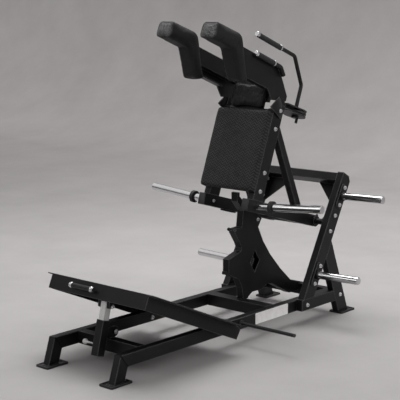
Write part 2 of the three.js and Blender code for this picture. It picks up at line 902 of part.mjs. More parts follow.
function bentCushion(outline, xa, xb, crown) {
  const half = (xb - xa) / 2;
  const middle = (xa + xb) / 2;
  const wide = 2 * half;
  const line = area(outline) < 0 ? [...outline].reverse() : outline;
  const stops = [...drawnShares, ...drawnShares.slice(0, -1).reverse().map(([x, o]) => [-x, o])];
  const rings = stops.map(([share, draw]) => {
    const rise = crown * (1 - share * share);
    const x = middle + (share * wide) / 2;
    return offset(line, draw * shoulderDraw + rise - crown).map(([y, z]) => [x, y, z]);
  });
  return loft(rings, true);
}

// Pads on the back frame
function buildPads() {
  const backMap = (x, s, rise) => [x, ...onBack(s, backPadThick - rise)];
  const thick = backPadThick - backPadCrown;
  add("back_pad", cushion(backPadHalf, backPadLong, thick, backPadCrown, backMap, backPadCorner), leather);

  const boardFront = backPadThick + seatGap;
  const board = [
    onBack(boardInset, boardFront),
    onBack(boardInset, backTubeFront - seatGap),
    onBack(backPadLong - boardInset, backTubeFront - seatGap),
    onBack(backPadLong - boardInset, boardFront),
  ];
  add("back_pad_board", prism(board, -backPadHalf + boardInset, backPadHalf - boardInset), paint);
  const neckBack = neckPadThick + seatGap;
  const neckTop = neckPadUp + neckPadLong - boardInset;
  const neckBoard = [
    onBack(backTubeTop - neckBoardLap, neckBack),
    onBack(backTubeTop - neckBoardLap, neckBack + neckBoardThick),
    onBack(neckTop, neckBack + neckBoardThick),
    onBack(neckTop, neckBack),
  ];
  add("neck_pad_board", prism(neckBoard, -neckBoardHalf, neckBoardHalf), paint);

  const neckMap = (x, s, rise) => [x, ...onBack(neckPadUp + s, neckPadThick - rise)];
  const neckThick = neckPadThick - neckPadCrown;
  const neckPad = cushion(neckPadHalf, neckPadLong, neckThick, neckPadCrown, neckMap, neckPadCorner);
  add("neck_pad", neckPad, leather);
}

// Shoulder pads, bent forward over the yoke's slanted front edge
const shoulderFrontShares = [[0.805, -1.667], [0.805, -1.157], [0.037, -0.855]];
const shoulderBackShares = [[0.13, -0.7131], [1, -1.001], [1.228, -1.089], [1.228, -1.634]];
const shoulderRoundShares = [1.1, 2, 0.9, 1, 1.5, 1.5, 1.2];

function buildShoulders() {
  const at = ([up, fore]) => onBack(yokeUp + up * yokeTall, fore * yokeFront);
  const corners = [...shoulderFrontShares, ...shoulderBackShares].map(at);
  const outline = roundCorners(corners, shoulderRoundShares.map((share) => share * shoulderRound), 3);
  sides((side, word) => {
    const xs = [side * shoulderInner, side * (shoulderInner + shoulderWide)].sort((a, b) => a - b);
    add(`shoulder_pad_${word}`, bentCushion(outline, xs[0], xs[1], shoulderCrown), leather);
  });
}

// Yoke plates outside the back uprights, with tubes forward to the shoulder pads
const yokePlateShares = [
  [0.163, 0.347], [0.316, 0.345], [1, -0.012], [1, -1], [0.242, -0.749], [0.242, -0.145], [0, 0.005],
];

function buildYoke() {
  const at = ([up, fore]) => onBack(yokeUp + up * yokeTall, fore * yokeFront);
  const plate = yokePlateShares.map(at);
  const tongueFront = backTubeFront + (backTubeDeep - yokeTongueWide) / 2;
  const tongueBack = tongueFront + yokeTongueWide;
  const tongue = [
    onBack(yokeUp - yokeTongue, tongueFront),
    onBack(yokeUp - yokeTongue, tongueBack),
    onBack(yokeUp + yokeTongueBack, tongueBack),
    onBack(yokeUp + yokeTongueBack, tongueFront),
  ];
  const edge = between(at(yokePlateShares[3]), at(yokePlateShares[4]));
  const edgePoint = at(yokePlateShares[3]);
  const lowFront = meet(edgePoint, edge, onBack(yokeTubeUp, 0), backBehind);
  const highFront = meet(edgePoint, edge, onBack(yokeTubeUp + yokeTubeTall, 0), backBehind);
  const cornerUp = at(yokePlateShares[2]);
  const slope = between(cornerUp, at(yokePlateShares[1]));
  const highBack = meet(cornerUp, slope, onBack(yokeTubeUp + yokeTubeTall, 0), backBehind);
  const lowBack = meet(cornerUp, slope, onBack(yokeTubeUp, 0), backBehind);
  const tube = [lowFront, lowBack, highBack, highFront];
  sides((side, word) => {
    const face = side * armOuter;
    const back = side * (armOuter + yokePlateThick);
    const lipUp = yokeUp + yokePlateShares[4][0] * yokeTall;
    const lipFront = yokePlateShares[4][1] * yokeFront;
    const lipBack = yokePlateShares[5][1] * yokeFront;
    const lip = [
      onBack(lipUp, lipFront),
      onBack(lipUp, lipBack),
      onBack(lipUp + yokePlateThick, lipBack),
      onBack(lipUp + yokePlateThick, lipFront),
    ];
    const pieces = [
      prism(plate, face, back),
      prism(tongue, face, back),
      prism(lip, side * (armOuter - yokeLipWide), side * (armOuter + yokePlateThick / 2)),
      prism(tube, side * armInner, side * (armOuter + yokePlateThick / 2), softEdge),
      ...sideGrip(side),
    ];
    add(`yoke_${word}`, join(...pieces), paint);
  });
}

// Swing handles in stacked plate brackets behind the back uprights
function buildHandles() {
  const rearFace = backTubeFront + backTubeDeep;
  const plateShape = (side, radius) => {
    const shape = [];
    const half = bracketHalf;
    const steps = 14;
    shape.push([handleX - half, rearFace + seatGap]);
    shape.push([handleX + half, rearFace + seatGap]);
    for (let k = 0; k <= steps; k++) {
      const angle = -plateSweep + ((Math.PI + 2 * plateSweep) * k) / steps;
      shape.push([handleX + radius * Math.cos(angle), handleBack + radius * Math.sin(angle)]);
    }
    return shape.map(([x, d]) => [side * x, d]);
  };
  const slab = (points, hole, from, thick) => {
    const flat = new THREE.Shape(points.map(([x, d]) => new THREE.Vector2(x, d)));
    if (hole) {
      flat.holes.push(new THREE.Path(hole.map(([x, d]) => new THREE.Vector2(x, d))));
    }
    const geometry = new THREE.ExtrudeGeometry(flat, { depth: thick, steps: 1, bevelEnabled: false });
    const frame = new THREE.Matrix4().makeBasis(
      new THREE.Vector3(1, 0, 0),
      new THREE.Vector3(0, backBehind[0], backBehind[1]),
      new THREE.Vector3(0, backUp[0], backUp[1]),
    );
    geometry.applyMatrix4(frame);
    geometry.translate(0, ...onBack(from, 0));
    return closed(geometry);
  };
  sides((side, word) => {
    const centre = [side * handleX, handleBack];
    const hole = bore(centre, handleRadius, runClear, smallSides);
    const plates = [0, 2].map((level) => {
      return slab(plateShape(side, discRadius), hole, plateStackUp + level * plateStack, plateStackThick);
    });
    const webBack = rearFace + seatGap + plateStackThick;
    const webHalf = bracketHalf / 2;
    const web = [
      [side * handleX - webHalf, rearFace + seatGap],
      [side * handleX + webHalf, rearFace + seatGap],
      [side * handleX + webHalf, webBack],
      [side * handleX - webHalf, webBack],
    ];
    plates.push(slab(web, null, plateStackUp + edgeBreak, 2 * plateStack));
    const disc = slab(circle(centre, discRadius), null, plateStackUp + plateStack, plateStackThick);
    const path = [
      onBack(handleFoot, handleBack),
      onBack(handleKnee, handleBack),
      onBack(handleTop, handleKneeBack),
      onBack(handleTop, -handleReach + gripCapLong),
    ];
    const tube = pipe(path, side * handleX, handleRadius, handleBend);
    const along = (d) => [side * handleX, ...onBack(handleTop, d)];
    const sleeveEnd = -handleReach + gripCapLong + seatGap;
    const gripFrom = sleeveEnd + handleGripLong;
    const ringFrom = gripFrom + seatGap;
    const ring = pin(along(ringFrom + gripRingThick), along(ringFrom), gripRingRadius, smallSides);
    const cap = pin(along(sleeveEnd - seatGap), along(-handleReach), gripRadius, smallSides, edgeBreak);
    const nutTop = plateStackUp - swingClear;
    const nutFrom = onBack(handleFoot - edgeBreak, handleBack);
    const nutTo = onBack(nutTop, handleBack);
    const nut = pin([side * handleX, ...nutFrom], [side * handleX, ...nutTo], gripRingRadius, smallSides);
    add(`swing_handle_${word}`, join(tube, disc, nut, ring, cap), paint);

    const inner = handleRadius + seatGap;
    add(`handle_grip_${word}`, turned(along(gripFrom), along(sleeveEnd), [
      [inner, 0],
      [gripRadius, 0],
      [gripRadius, handleGripLong],
      [inner, handleGripLong],
      [inner, 0],
    ], smallSides), rubber);

    const pinCentre = [side * handleX, handleBack + stopPinSet];
    const pinTop = [pinCentre[0], ...onBack(plateStackUp + edgeBreak, pinCentre[1])];
    const pinFoot = [pinCentre[0], ...onBack(plateStackUp - stopPinLong, pinCentre[1])];
    const stop = pin(pinTop, pinFoot, stopPinRadius, smallSides, edgeBreak);
    add(`handle_bracket_${word}`, join(...plates, stop), paint);
  });
}

// Short fixed grip on the outside of a yoke plate: bent tube, ring and end cap, with its rubber sleeve
function sideGrip(side) {
  const x = side * sideGripX;
  const end = -sideGripRing - sideGripLong;
  const path = [
    onBack(sideGripUp - sideGripFall, sideGripFootBack),
    onBack(sideGripUp, sideGripKneeBack),
    onBack(sideGripUp, end - seatGap),
  ];
  const along = (d) => [x, ...onBack(sideGripUp, d)];
  const ringFrom = -sideGripRing + seatGap + gripRingThick;
  const slant = between(path[0], path[1]);
  const slantLong = Math.hypot(path[1][0] - path[0][0], path[1][1] - path[0][1]);
  const bossSpots = sideGripBossShares.map((share) => step(path[0], slant, share * slantLong));
  const wall = side * (armOuter + yokePlateThick / 2);
  return [
    pipe(path, x, sideGripRadius, handleBend),
    pin(along(ringFrom), along(-sideGripRing + seatGap), gripRingRadius, smallSides),
    pin(along(end - seatGap), along(end - gripCapLong), gripRadius, smallSides, edgeBreak),
    ...bossSpots.map((spot) => pin([wall, ...spot], [x, ...spot], sideGripBossRadius, smallSides)),
  ];
}

function buildSideSleeves() {
  const inner = sideGripRadius + seatGap;
  sides((side, word) => {
    const x = side * sideGripX;
    const along = (d) => [x, ...onBack(sideGripUp, d)];
    const wall = [[inner, 0], [gripRadius, 0], [gripRadius, sideGripLong], [inner, sideGripLong]];
    const sleeve = [...wall, wall[0]];
    const tube = turned(along(-sideGripRing), along(-sideGripRing - sideGripLong), sleeve, smallSides);
    add(`side_grip_sleeve_${word}`, tube, rubber);
  });
}

// Footplate: p runs forward up the slope from the pivot and q out of the plate
function onTray(p, q) {
  return [
    trayPivotY - p * Math.cos(traySlope) + q * Math.sin(traySlope),
    trayPivotHigh + p * Math.sin(traySlope) + q * Math.cos(traySlope),
  ];
}

function buildTray() {
  const top = trayPivotUp;
  const plateTop = top + trayPlateRise;
  const low = top - trayTall;
  const ribTop = plateTop - trayWall - seatGap;
  const ribLow = ribTop - ribTall;
  const topPoint = postPoint(postTopAlong, 0);
  const trayLine = [-Math.cos(traySlope), Math.sin(traySlope)];
  const overPost = (shift) => meet(step(topPoint, [1, 0], shift), [0, 1], onTray(0, ribTop), trayLine);
  const lugAlong = (onTray(0, ribTop)[0] - overPost(0)[0]) / Math.cos(traySlope);
  const long = lugAlong + trayFrontSet;

  const cheek = [
    onTray(long, top),
    onTray(-trayPivotIn, top),
    onTray(-trayTailLong, top - trayTailDrop),
    onTray(-trayTailUnder, low),
    onTray(long, low),
  ];
  const cheeks = sides((side) => prism(cheek, side * (trayHalf - trayWall), side * trayHalf));
  const onPlate = (a, b, high, deep) => [onTray(b, high), onTray(a, high), onTray(a, deep), onTray(b, deep)];
  const plate = onPlate(-trayPivotIn, long, plateTop, plateTop - trayWall);
  const face = onPlate(long - trayWall, long, top, low);
  const bossFrom = trayHalf - trayWall - trayBossLong;
  const onAxis = (x) => [x, trayPivotY, trayPivotHigh];
  const bosses = sides((side) => {
    return pin(onAxis(side * bossFrom), onAxis(side * (trayHalf - trayWall / 2)), trayBossRadius, smallSides);
  });
  const bores = sides((side) => {
    const radius = (trayPinRadius + runClear) / Math.cos(Math.PI / smallSides);
    const mouth = onAxis(side * (bossFrom - swingClear));
    return pin(mouth, onAxis(side * (trayHalf - trayWall)), radius, smallSides);
  });
  const sheets = [prism(plate, -trayHalf - trayLedge, trayHalf + trayLedge), prism(face, -trayHalf, trayHalf)];
  const skin = join(...cheeks, ...bosses, ...sheets);
  add("tray_deck", cut(skin, ...bores), paint);

  // Ribs and the post's upper bracket under the plate
  const rib = onPlate(ribRearSet, long - trayWall - seatGap, ribTop, ribLow);
  const ribs = sides((side) => prism(rib, side * (ribX - ribWide / 2), side * (ribX + ribWide / 2)));
  const cross = onPlate(lugAlong - ribWide / 2, lugAlong + ribWide / 2, ribTop, ribLow);
  const crossRib = prism(cross, -ribX, ribX);
  const lugInner = postInnerSize / 2 + swingClear;
  const lugOuter = lugInner + trayLugThick;
  const lug = [
    [topPoint[0] - lugHalf, topPoint[1] - trayLugUnder],
    [topPoint[0] + lugHalf, topPoint[1] - trayLugUnder],
    overPost(lugHalf),
    overPost(-lugHalf),
  ];
  const lugs = sides((side) => prism(lug, side * lugInner, side * lugOuter));
  const span = lugOuter + boltHeadTall;
  const pinAcross = pin([-span, ...topPoint], [span, ...topPoint], postTopRadius, smallSides);
  const heads = sides((side) => {
    const from = side * (lugOuter - edgeBreak / 2);
    return pin([from, ...topPoint], [side * span, ...topPoint], boltHeadRadius, boltSides);
  });
  add("tray_frame", join(...ribs, crossRib, ...lugs, pinAcross, ...heads), paint);

  // Grip bar on the front face
  const out = long + frontGripOut;
  const barCentre = onTray(out, top - frontGripDrop);
  const from = frontGripCentre - frontGripSpan / 2;
  const to = frontGripCentre + frontGripSpan / 2;
  const barEnds = [from - frontGripOver, to + frontGripOver].map((x) => [x, ...barCentre]);
  const grip = pin(...barEnds, frontGripRadius, smallSides);
  const stands = [from, to].map((x) => {
    const root = onTray(long + seatGap, top - frontGripDrop);
    return pin([x, ...root], [x, ...barCentre], standRadius, smallSides);
  });
  add("tray_grip", join(grip, ...stands), rubber);

  // Stub axles on the rails, ending inside the bosses
  sides((side, word) => {
    const bush = bossFrom - swingClear - railOuter;
    const reach = trayHalf - trayWall - swingClear - railOuter;
    add(`tray_pivot_${word}`, turned(onAxis(side * railOuter), onAxis(side * trayHalf), [
      [0, 0],
      [trayBushRadius, 0],
      [trayBushRadius, bush],
      [trayPinRadius, bush],
      [trayPinRadius, reach],
      [0, reach],
    ], smallSides), steel);
  });
}

// Places on the post: a runs up its axis from its foot and b behind its centreline
function postPoint(a, b) {
  const foot = [frontMemberY - postFrontSet, postFootHigh];
  return [
    foot[0] + a * Math.sin(postLean) + b * Math.cos(postLean),
    foot[1] + a * Math.cos(postLean) - b * Math.sin(postLean),
  ];
}

// Post: outer tube hinged at the front cross-member, inner tube sliding in it
function buildPost() {
  const half = postOuterSize / 2;
  const bar2 = (a0, a1, h) => [postPoint(a0, -h), postPoint(a1, -h), postPoint(a1, h), postPoint(a0, h)];
  const innerHalf = postInnerSize / 2;
  const hollow = innerHalf + postWallClear;
  const hinge = [frontMemberY - postFrontSet + postHingeBack, postHingeHigh];
  const body = prism(bar2(0, postOuterLong, half), -half, half, edgeBreak);
  const channel = prism(bar2(-edgeBreak * 2, postOuterLong + edgeBreak * 2, hollow), -hollow, hollow);
  const ears = sides((side) => {
    const inner = side * (lugThick / 2 + swingClear);
    const outer = side * (lugThick / 2 + swingClear + earThick);
    const rear = postPoint(0, half - edgeBreak);
    const line = [Math.sin(postLean), Math.cos(postLean)];
    const low = meet(rear, line, [hinge[0], hinge[1] - earHalf], [1, 0]);
    const high = meet(rear, line, [hinge[0], hinge[1] + earHalf], [1, 0]);
    const arc = [];
    for (let k = 0; k <= 8; k++) {
      const angle = -Math.PI / 2 + (Math.PI * k) / 8;
      arc.push([hinge[0] + earHalf * Math.cos(angle), hinge[1] + earHalf * Math.sin(angle)]);
    }
    return prism([low, ...arc, high], inner, outer, 0, [bore(hinge, postHingeRadius, runClear, smallSides)]);
  });
  const onPin = (x) => [x, ...postPoint(pinAlong, 0)];
  const boss = pin(onPin(-half + edgeBreak), onPin(-half - pinBossLong), pinBossRadius, smallSides);
  const boreRadius = (pinRadius + runClear) / Math.cos(Math.PI / smallSides);
  const bossBore = pin(onPin(-hollow + edgeBreak), onPin(-half - 2 * pinBossLong), boreRadius, smallSides);
  add("post_outer", cut(join(body, boss, ...ears), channel, bossBore), paint);

  const inner = prism(bar2(postInnerFoot, postInnerTop, innerHalf), -innerHalf, innerHalf, edgeBreak);
  const topHole = pin([-half, ...postPoint(postTopAlong, 0)], [half, ...postPoint(postTopAlong, 0)],
    postTopRadius + postTopSlack, smallSides);
  add("post_inner", cut(inner, topHole), steel);

  const tip = -half - pinBossLong - pinReach;
  const ballStart = pinReach + pinBossLong + half - innerHalf - seatGap;
  const stem = turned(onPin(-innerHalf - seatGap), onPin(tip), [
    [0, 0],
    [pinRadius, 0],
    [pinRadius, ballStart - knobRadius],
    ...knobShares.map((share) => {
      const angle = Math.PI * share;
      return [knobRadius * Math.sin(angle), ballStart - knobSink + knobRadius * (1 - Math.cos(angle))];
    }),
    [0, ballStart - knobSink + 2 * knobRadius],
  ], smallSides);
  add("pull_pin", stem, chrome);

  // Lug that stands on the front cross-member
  const memberMiddle = frontMemberY + frontMemberDeep / 2;
  const arc = [];
  for (let k = 0; k <= 8; k++) {
    const angle = (Math.PI * k) / 8;
    arc.push([hinge[0] + lugRound * Math.cos(angle), hinge[1] + lugRound * Math.sin(angle)]);
  }
  const base = [[memberMiddle - lugHalf, railTop], [memberMiddle + lugHalf, railTop]];
  const lug = prism([...base, ...arc], -lugThick / 2, lugThick / 2);
  const reach = lugThick / 2 + swingClear + earThick + boltHeadTall + swingClear;
  const hingePin = pin([-reach, ...hinge], [reach, ...hinge], postHingeRadius, smallSides);
  const heads = sides((side) => {
    const from = side * (lugThick / 2 + 2 * swingClear + earThick);
    return pin([from, ...hinge], [side * reach, ...hinge], boltHeadRadius, boltSides);
  });
  add("post_lug", join(lug, hingePin, ...heads), paint);
}

buildBase();
buildAFrames();
buildFin();
buildBandRods();
buildLeverArms();
buildBackFrame();
buildPads();
buildYoke();
buildShoulders();
buildHandles();
buildSideSleeves();
buildTray();
buildPost();

export default group;
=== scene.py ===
import math

import bpy
from mathutils import Matrix, Vector


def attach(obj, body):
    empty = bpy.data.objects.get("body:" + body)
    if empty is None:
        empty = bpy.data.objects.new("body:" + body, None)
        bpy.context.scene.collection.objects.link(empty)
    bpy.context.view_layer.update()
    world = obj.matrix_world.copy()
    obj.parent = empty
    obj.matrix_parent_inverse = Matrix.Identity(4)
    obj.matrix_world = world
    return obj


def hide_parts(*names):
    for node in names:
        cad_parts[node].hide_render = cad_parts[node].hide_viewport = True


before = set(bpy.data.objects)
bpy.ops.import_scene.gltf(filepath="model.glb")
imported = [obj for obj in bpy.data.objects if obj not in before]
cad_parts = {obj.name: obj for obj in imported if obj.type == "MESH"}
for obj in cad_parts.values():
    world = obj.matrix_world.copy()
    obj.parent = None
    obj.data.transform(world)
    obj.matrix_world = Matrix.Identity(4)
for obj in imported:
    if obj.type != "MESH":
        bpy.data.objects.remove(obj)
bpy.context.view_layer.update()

# Camera. The machine is seen from its front left, a little above seat height. The lens is long,
# so its tubes run almost parallel.
camera_place = Vector((4.504, -5.191, 2.019))
camera_pitch = 80.435
camera_yaw = 41.247
camera_lens = 101.43
camera_sensor = 36
camera_reach = 100

bpy.ops.object.camera_add(location=camera_place)
camera = bpy.context.object
camera.name = "camera"
camera.rotation_euler = (math.radians(camera_pitch), 0, math.radians(camera_yaw))
camera.data.sensor_width = camera_sensor
camera.data.lens = camera_lens
camera.data.clip_end = camera_reach
bpy.context.scene.camera = camera


# Studio. A seamless pale grey sweep carries the machine and curves up behind it.
# Large soft boxes hang above and on the right, and a weaker one fills from the left.
sweep_half = 14.0
sweep_back = 9.0
sweep_front = -12.0
sweep_tall = 9.0
sweep_round = 3.0
# Light and shade painted along the sweep's depth, as (depth, grey) pairs.
sweep_painted_light = [(-0.2, 0.425), (2.9, 0.455), (7.0, 0.650), (9.2, 0.560)]
sweep_warmth = (1.0, 0.968, 0.966)
sweep_depth = 10.0
sweep_grey = (0.45, 0.44, 0.44, 1)
sweep_roughness = 0.9
sweep_shine = 0.1
mottle_dark = (0.93, 0.93, 0.93, 1)
mottle_pale = (1.05, 1.05, 1.05, 1)


def feed(tree, value, socket):
    """Link a value into a socket, or write it there where it is a constant."""
    if isinstance(value, bpy.types.NodeSocket):
        tree.links.new(value, socket)
    else:
        socket.default_value = value


def start_material(name, colour, roughness, metallic=0.0):
    """A new material: its nodes, its shader and the place on the piece."""
    material = bpy.data.materials.new(name)
    material.use_nodes = True
    tree = material.node_tree
    shader = tree.nodes["Principled BSDF"]
    shader.inputs["Base Color"].default_value = colour
    shader.inputs["Roughness"].default_value = roughness
    shader.inputs["Metallic"].default_value = metallic
    place = tree.nodes.new("ShaderNodeTexCoord")
    return material, tree, shader, place.outputs["Object"]


def drive(shader, name, value):
    """Let a value drive a socket of a shader."""
    shader.id_data.links.new(value, shader.inputs[name])


def worked(tree, operation, first, second=None):
    """A Math node on one value or two."""
    node = tree.nodes.new("ShaderNodeMath")
    node.operation = operation
    feed(tree, first, node.inputs[0])
    if second is not None:
        feed(tree, second, node.inputs[1])
    return node.outputs[0]


def axis_of(tree, place, axis):
    """One axis of a place."""
    split = tree.nodes.new("ShaderNodeSeparateXYZ")
    tree.links.new(place, split.inputs[0])
    return split.outputs[axis]


def noise(tree, place, scale, detail=2.0, roughness=0.5, distortion=0.0):
    """A cloudy texture."""
    texture = tree.nodes.new("ShaderNodeTexNoise")
    texture.inputs["Scale"].default_value = scale
    texture.inputs["Detail"].default_value = detail
    texture.inputs["Roughness"].default_value = roughness
    texture.inputs["Distortion"].default_value = distortion
    tree.links.new(place, texture.inputs["Vector"])
    return texture.outputs["Fac"]


def spread(tree, value, low, high, span=(0, 1)):
    """A value moved from a span onto the range from low to high."""
    node = tree.nodes.new("ShaderNodeMapRange")
    node.inputs["From Min"].default_value = span[0]
    node.inputs["From Max"].default_value = span[1]
    node.inputs["To Min"].default_value = low
    node.inputs["To Max"].default_value = high
    tree.links.new(value, node.inputs["Value"])
    return node.outputs["Result"]


def two_tones(tree, factor, low, high, dark, pale):
    """A colour ramp between two tones, driven by a texture."""
    ramp = tree.nodes.new("ShaderNodeValToRGB")
    ramp.color_ramp.elements[0].position = low
    ramp.color_ramp.elements[0].color = dark
    ramp.color_ramp.elements[1].position = high
    ramp.color_ramp.elements[1].color = pale
    tree.links.new(factor, ramp.inputs["Fac"])
    return ramp.outputs["Color"]


def blend(tree, where, first, second, kind="RGBA", mode="MIX"):
    """The first colour, number or direction where the mask is 0, and the second where it is 1."""
    node = tree.nodes.new("ShaderNodeMix")
    node.data_type = kind
    node.blend_type = mode
    feed(tree, where, node.inputs["Factor"])
    feed(tree, first, node.inputs["A"])
    feed(tree, second, node.inputs["B"])
    return node.outputs["Result"]


def sweep_paint():
    """Pale grey with painted light and shade that changes slowly towards the back, with faint
    mottling.
    """
    material, tree, shader, place = start_material("sweep_paint", sweep_grey, sweep_roughness)
    shader.inputs["Specular IOR Level"].default_value = sweep_shine
    # Grey by depth is painted light and shade: darker at the front, palest where the floor curves up
    # into the wall.
    tones = tree.nodes.new("ShaderNodeValToRGB")
    ramp = tones.color_ramp
    while len(ramp.elements) < len(sweep_painted_light):
        ramp.elements.new(0.5)
    for element, (back, tone) in zip(ramp.elements, sweep_painted_light):
        element.position = max(0, back / sweep_depth)
        element.color = (*[tone * tint for tint in sweep_warmth], 1)
    depth = worked(tree, "DIVIDE", axis_of(tree, place, "Y"), sweep_depth)
    tree.links.new(depth, tones.inputs["Fac"])
    mottle = noise(tree, place, scale=1.6, detail=9, roughness=0.62)
    wear = two_tones(tree, mottle, 0.3, 0.7, mottle_dark, mottle_pale)
    painted_light_and_mottle = blend(tree, 1, tones.outputs["Color"], wear, mode="MULTIPLY")
    drive(shader, "Base Color", painted_light_and_mottle)
    return material


def deselect():
    bpy.ops.object.select_all(action="DESELECT")


def edit_edges(piece, wanted):
    """Edit mode with only the edges selected that a test on their two ends picks."""
    bpy.ops.object.mode_set(mode="EDIT")
    bpy.ops.mesh.select_mode(type="EDGE")
    bpy.ops.mesh.select_all(action="DESELECT")
    bpy.ops.object.mode_set(mode="OBJECT")
    for edge in piece.data.edges:
        edge.select = wanted(*[piece.data.vertices[i].co for i in edge.vertices])
    bpy.ops.object.mode_set(mode="EDIT")


deselect()
bpy.ops.mesh.primitive_plane_add(size=1)
sweep = bpy.context.object
sweep.name = "sweep"
sweep_corners = [(x, y, 0) for y in (sweep_front, sweep_back) for x in (-sweep_half, sweep_half)]
for vertex, corner in zip(sweep.data.vertices, sweep_corners):
    vertex.co = corner
at_back = sweep_back - 0.01
edit_edges(sweep, lambda a, b: min(a.y, b.y) > at_back)
bpy.ops.mesh.extrude_region_move(TRANSFORM_OT_translate={"value": (0, 0, sweep_tall)})
edit_edges(sweep, lambda a, b: min(a.y, b.y) > at_back and max(a.z, b.z) < 0.01)
bpy.ops.mesh.bevel(offset=sweep_round, segments=16, affect="EDGES")
bpy.ops.object.mode_set(mode="OBJECT")
bpy.ops.object.shade_smooth()
sweep.data.materials.append(sweep_paint())


def soft_box(name, place, aim, size, power):
    bpy.ops.object.light_add(type="AREA", location=place)
    lamp = bpy.context.object
    lamp.name = name
    lamp.data.shape = "SQUARE"
    lamp.data.size = size
    lamp.data.energy = power
    lamp.rotation_euler = (Vector(aim) - Vector(place)).to_track_quat("-Z", "Y").to_euler()


soft_box("soft_box_top", place=(-0.9, 1.3, 5.4), aim=(0, 0.0, 0.4), size=3.6, power=250)
soft_box("soft_box_right", place=(5.2, 1.6, 3.2), aim=(0, 0.3, 0.8), size=2.6, power=50)
soft_box("soft_box_left", place=(-2.6, -5.2, 3.0), aim=(0, 0.2, 0.9), size=2.4, power=25)

room_light = 0.56
room_shine = 0.50
room_tint = (1.0, 0.985, 0.98, 1)
ceiling_span = (0.02, 0.55)
ceiling_low = room_shine * 0.2
ceiling_high = room_shine * 1.7
world = bpy.data.worlds.new("studio")
world.use_nodes = True
sky = world.node_tree
upward = axis_of(sky, sky.nodes.new("ShaderNodeTexCoord").outputs["Generated"], "Z")
ceiling = spread(sky, upward, ceiling_low, ceiling_high, ceiling_span)
mirrored = sky.nodes.new("ShaderNodeLightPath").outputs["Is Glossy Ray"]
room = blend(sky, mirrored, room_light, ceiling, "FLOAT")
sky.links.new(room, sky.nodes["Background"].inputs["Strength"])
sky.nodes["Background"].inputs["Color"].default_value = room_tint
bpy.context.scene.world = world
bpy.context.scene.view_settings.view_transform = "Standard"


# Base frame. Two rails of rectangular steel tube stand on raked front legs and welded floor
# plates, tied by three cross-members. All of it is powder coated in a fine-grained satin black,
# with a pale highlight painted along the edges, and each floor plate sits in a rounded black pad.
coat_dark = (0.0045, 0.0045, 0.0048, 1)
coat_pale = (0.0090, 0.0090, 0.0094, 1)
# Tone of the highlight painted along the coat's edges.
coat_edge_highlight = (0.20, 0.20, 0.20, 1)
coat_shine = 0.22
coat_grain = 950.0
coat_clouds = 7.0
coat_peel_deep = 0.0004
coat_glossier = 0.05
coat_duller = 0.08
coat_soft_edge = 0.004
edge_highlight_span = (0.995, 0.86)
mitre_corner = Vector((0, -1.0410, 0.165))
mitre_normal = Vector((0, 0.8052, 0.5930))
weld_half = coat_soft_edge * 1.5


def vectors(tree, operation, first, second):
    """A Vector Math node on two directions."""
    node = tree.nodes.new("ShaderNodeVectorMath")
    node.operation = operation
    feed(tree, first, node.inputs[0])
    feed(tree, second, node.inputs[1])
    return node.outputs["Value" if operation == "DOT_PRODUCT" else "Vector"]


def measured(tree, place, origin, direction):
    """How far a point lies from an origin along a direction."""
    return vectors(tree, "DOT_PRODUCT", vectors(tree, "SUBTRACT", place, origin), direction)


def bumped(tree, height, strength, distance, under=None):
    """The direction of a surface with relief, over what lies under that relief."""
    bump = tree.nodes.new("ShaderNodeBump")
    bump.inputs["Strength"].default_value = strength
    bump.inputs["Distance"].default_value = distance
    tree.links.new(height, bump.inputs["Height"])
    if under is not None:
        tree.links.new(under, bump.inputs["Normal"])
    return bump.outputs["Normal"]


def powder_coat(name, roughness=0.40, grain=0.16, clear_of_welds=None):
    """Satin black coat with a painted highlight along its edges, but not along a weld that is ground
    flush.
    """
    material, tree, shader, place = start_material(name, coat_dark, roughness)
    shader.inputs["Specular IOR Level"].default_value = coat_shine
    clouds = noise(tree, place, scale=coat_clouds, detail=8)
    tones = two_tones(tree, clouds, 0.35, 0.7, coat_dark, coat_pale)
    soft_edge = tree.nodes.new("ShaderNodeBevel")
    soft_edge.samples = 4
    soft_edge.inputs["Radius"].default_value = coat_soft_edge
    rounded = soft_edge.outputs["Normal"]
    flat = tree.nodes.new("ShaderNodeNewGeometry").outputs
    agree = vectors(tree, "DOT_PRODUCT", rounded, flat["True Normal"])
    # A pale tone where the rounded normal leans away from the flat face: a painted highlight along
    # the edges.
    edge_highlight = spread(tree, agree, 0, 1, edge_highlight_span)
    if clear_of_welds is not None:
        clear = clear_of_welds(tree, place)
        edge_highlight = worked(tree, "MULTIPLY", edge_highlight, clear)
        rounded = blend(tree, clear, flat["Normal"], rounded, "VECTOR")
    drive(shader, "Base Color", blend(tree, edge_highlight, tones, coat_edge_highlight))
    gloss = spread(tree, clouds, roughness - coat_glossier, roughness + coat_duller)
    drive(shader, "Roughness", gloss)
    peel = noise(tree, place, scale=coat_grain)
    relief = bumped(tree, peel, strength=grain, distance=coat_peel_deep, under=rounded)
    drive(shader, "Normal", relief)
    return material


def clear_of_mitre(tree, place):
    """1 away from the weld between a front leg and its rail, and 0 at it."""
    reach = worked(tree, "ABSOLUTE", measured(tree, place, mitre_corner, mitre_normal))
    return worked(tree, "GREATER_THAN", reach, weld_half)


def coat(material, *names):
    """A CAD node takes a finish in place of its plain colour."""
    for name in names:
        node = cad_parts[name]
        for i in range(max(1, len(node.material_slots))):
            if i < len(node.material_slots):
                node.material_slots[i].material = material
            else:
                node.data.materials.append(material)


both = ("left", "right")


def side_of(name):
    return 1 if name == "left" else -1


def on_both_sides(*parts):
    """The names of paired pieces."""
    return [f"{part}_{side}" for part in parts for side in both]


paint = powder_coat("powder_coat_black")
mitred_paint = powder_coat("powder_coat_mitred", clear_of_welds=clear_of_mitre)
coat(paint, "front_cross_member", "middle_cross_member", "rear_cross_member")
coat(mitred_paint, *on_both_sides("rail", "front_leg"))

zinc_dark = (0.72, 0.72, 0.73, 1)
zinc_pale = (0.94, 0.94, 0.95, 1)


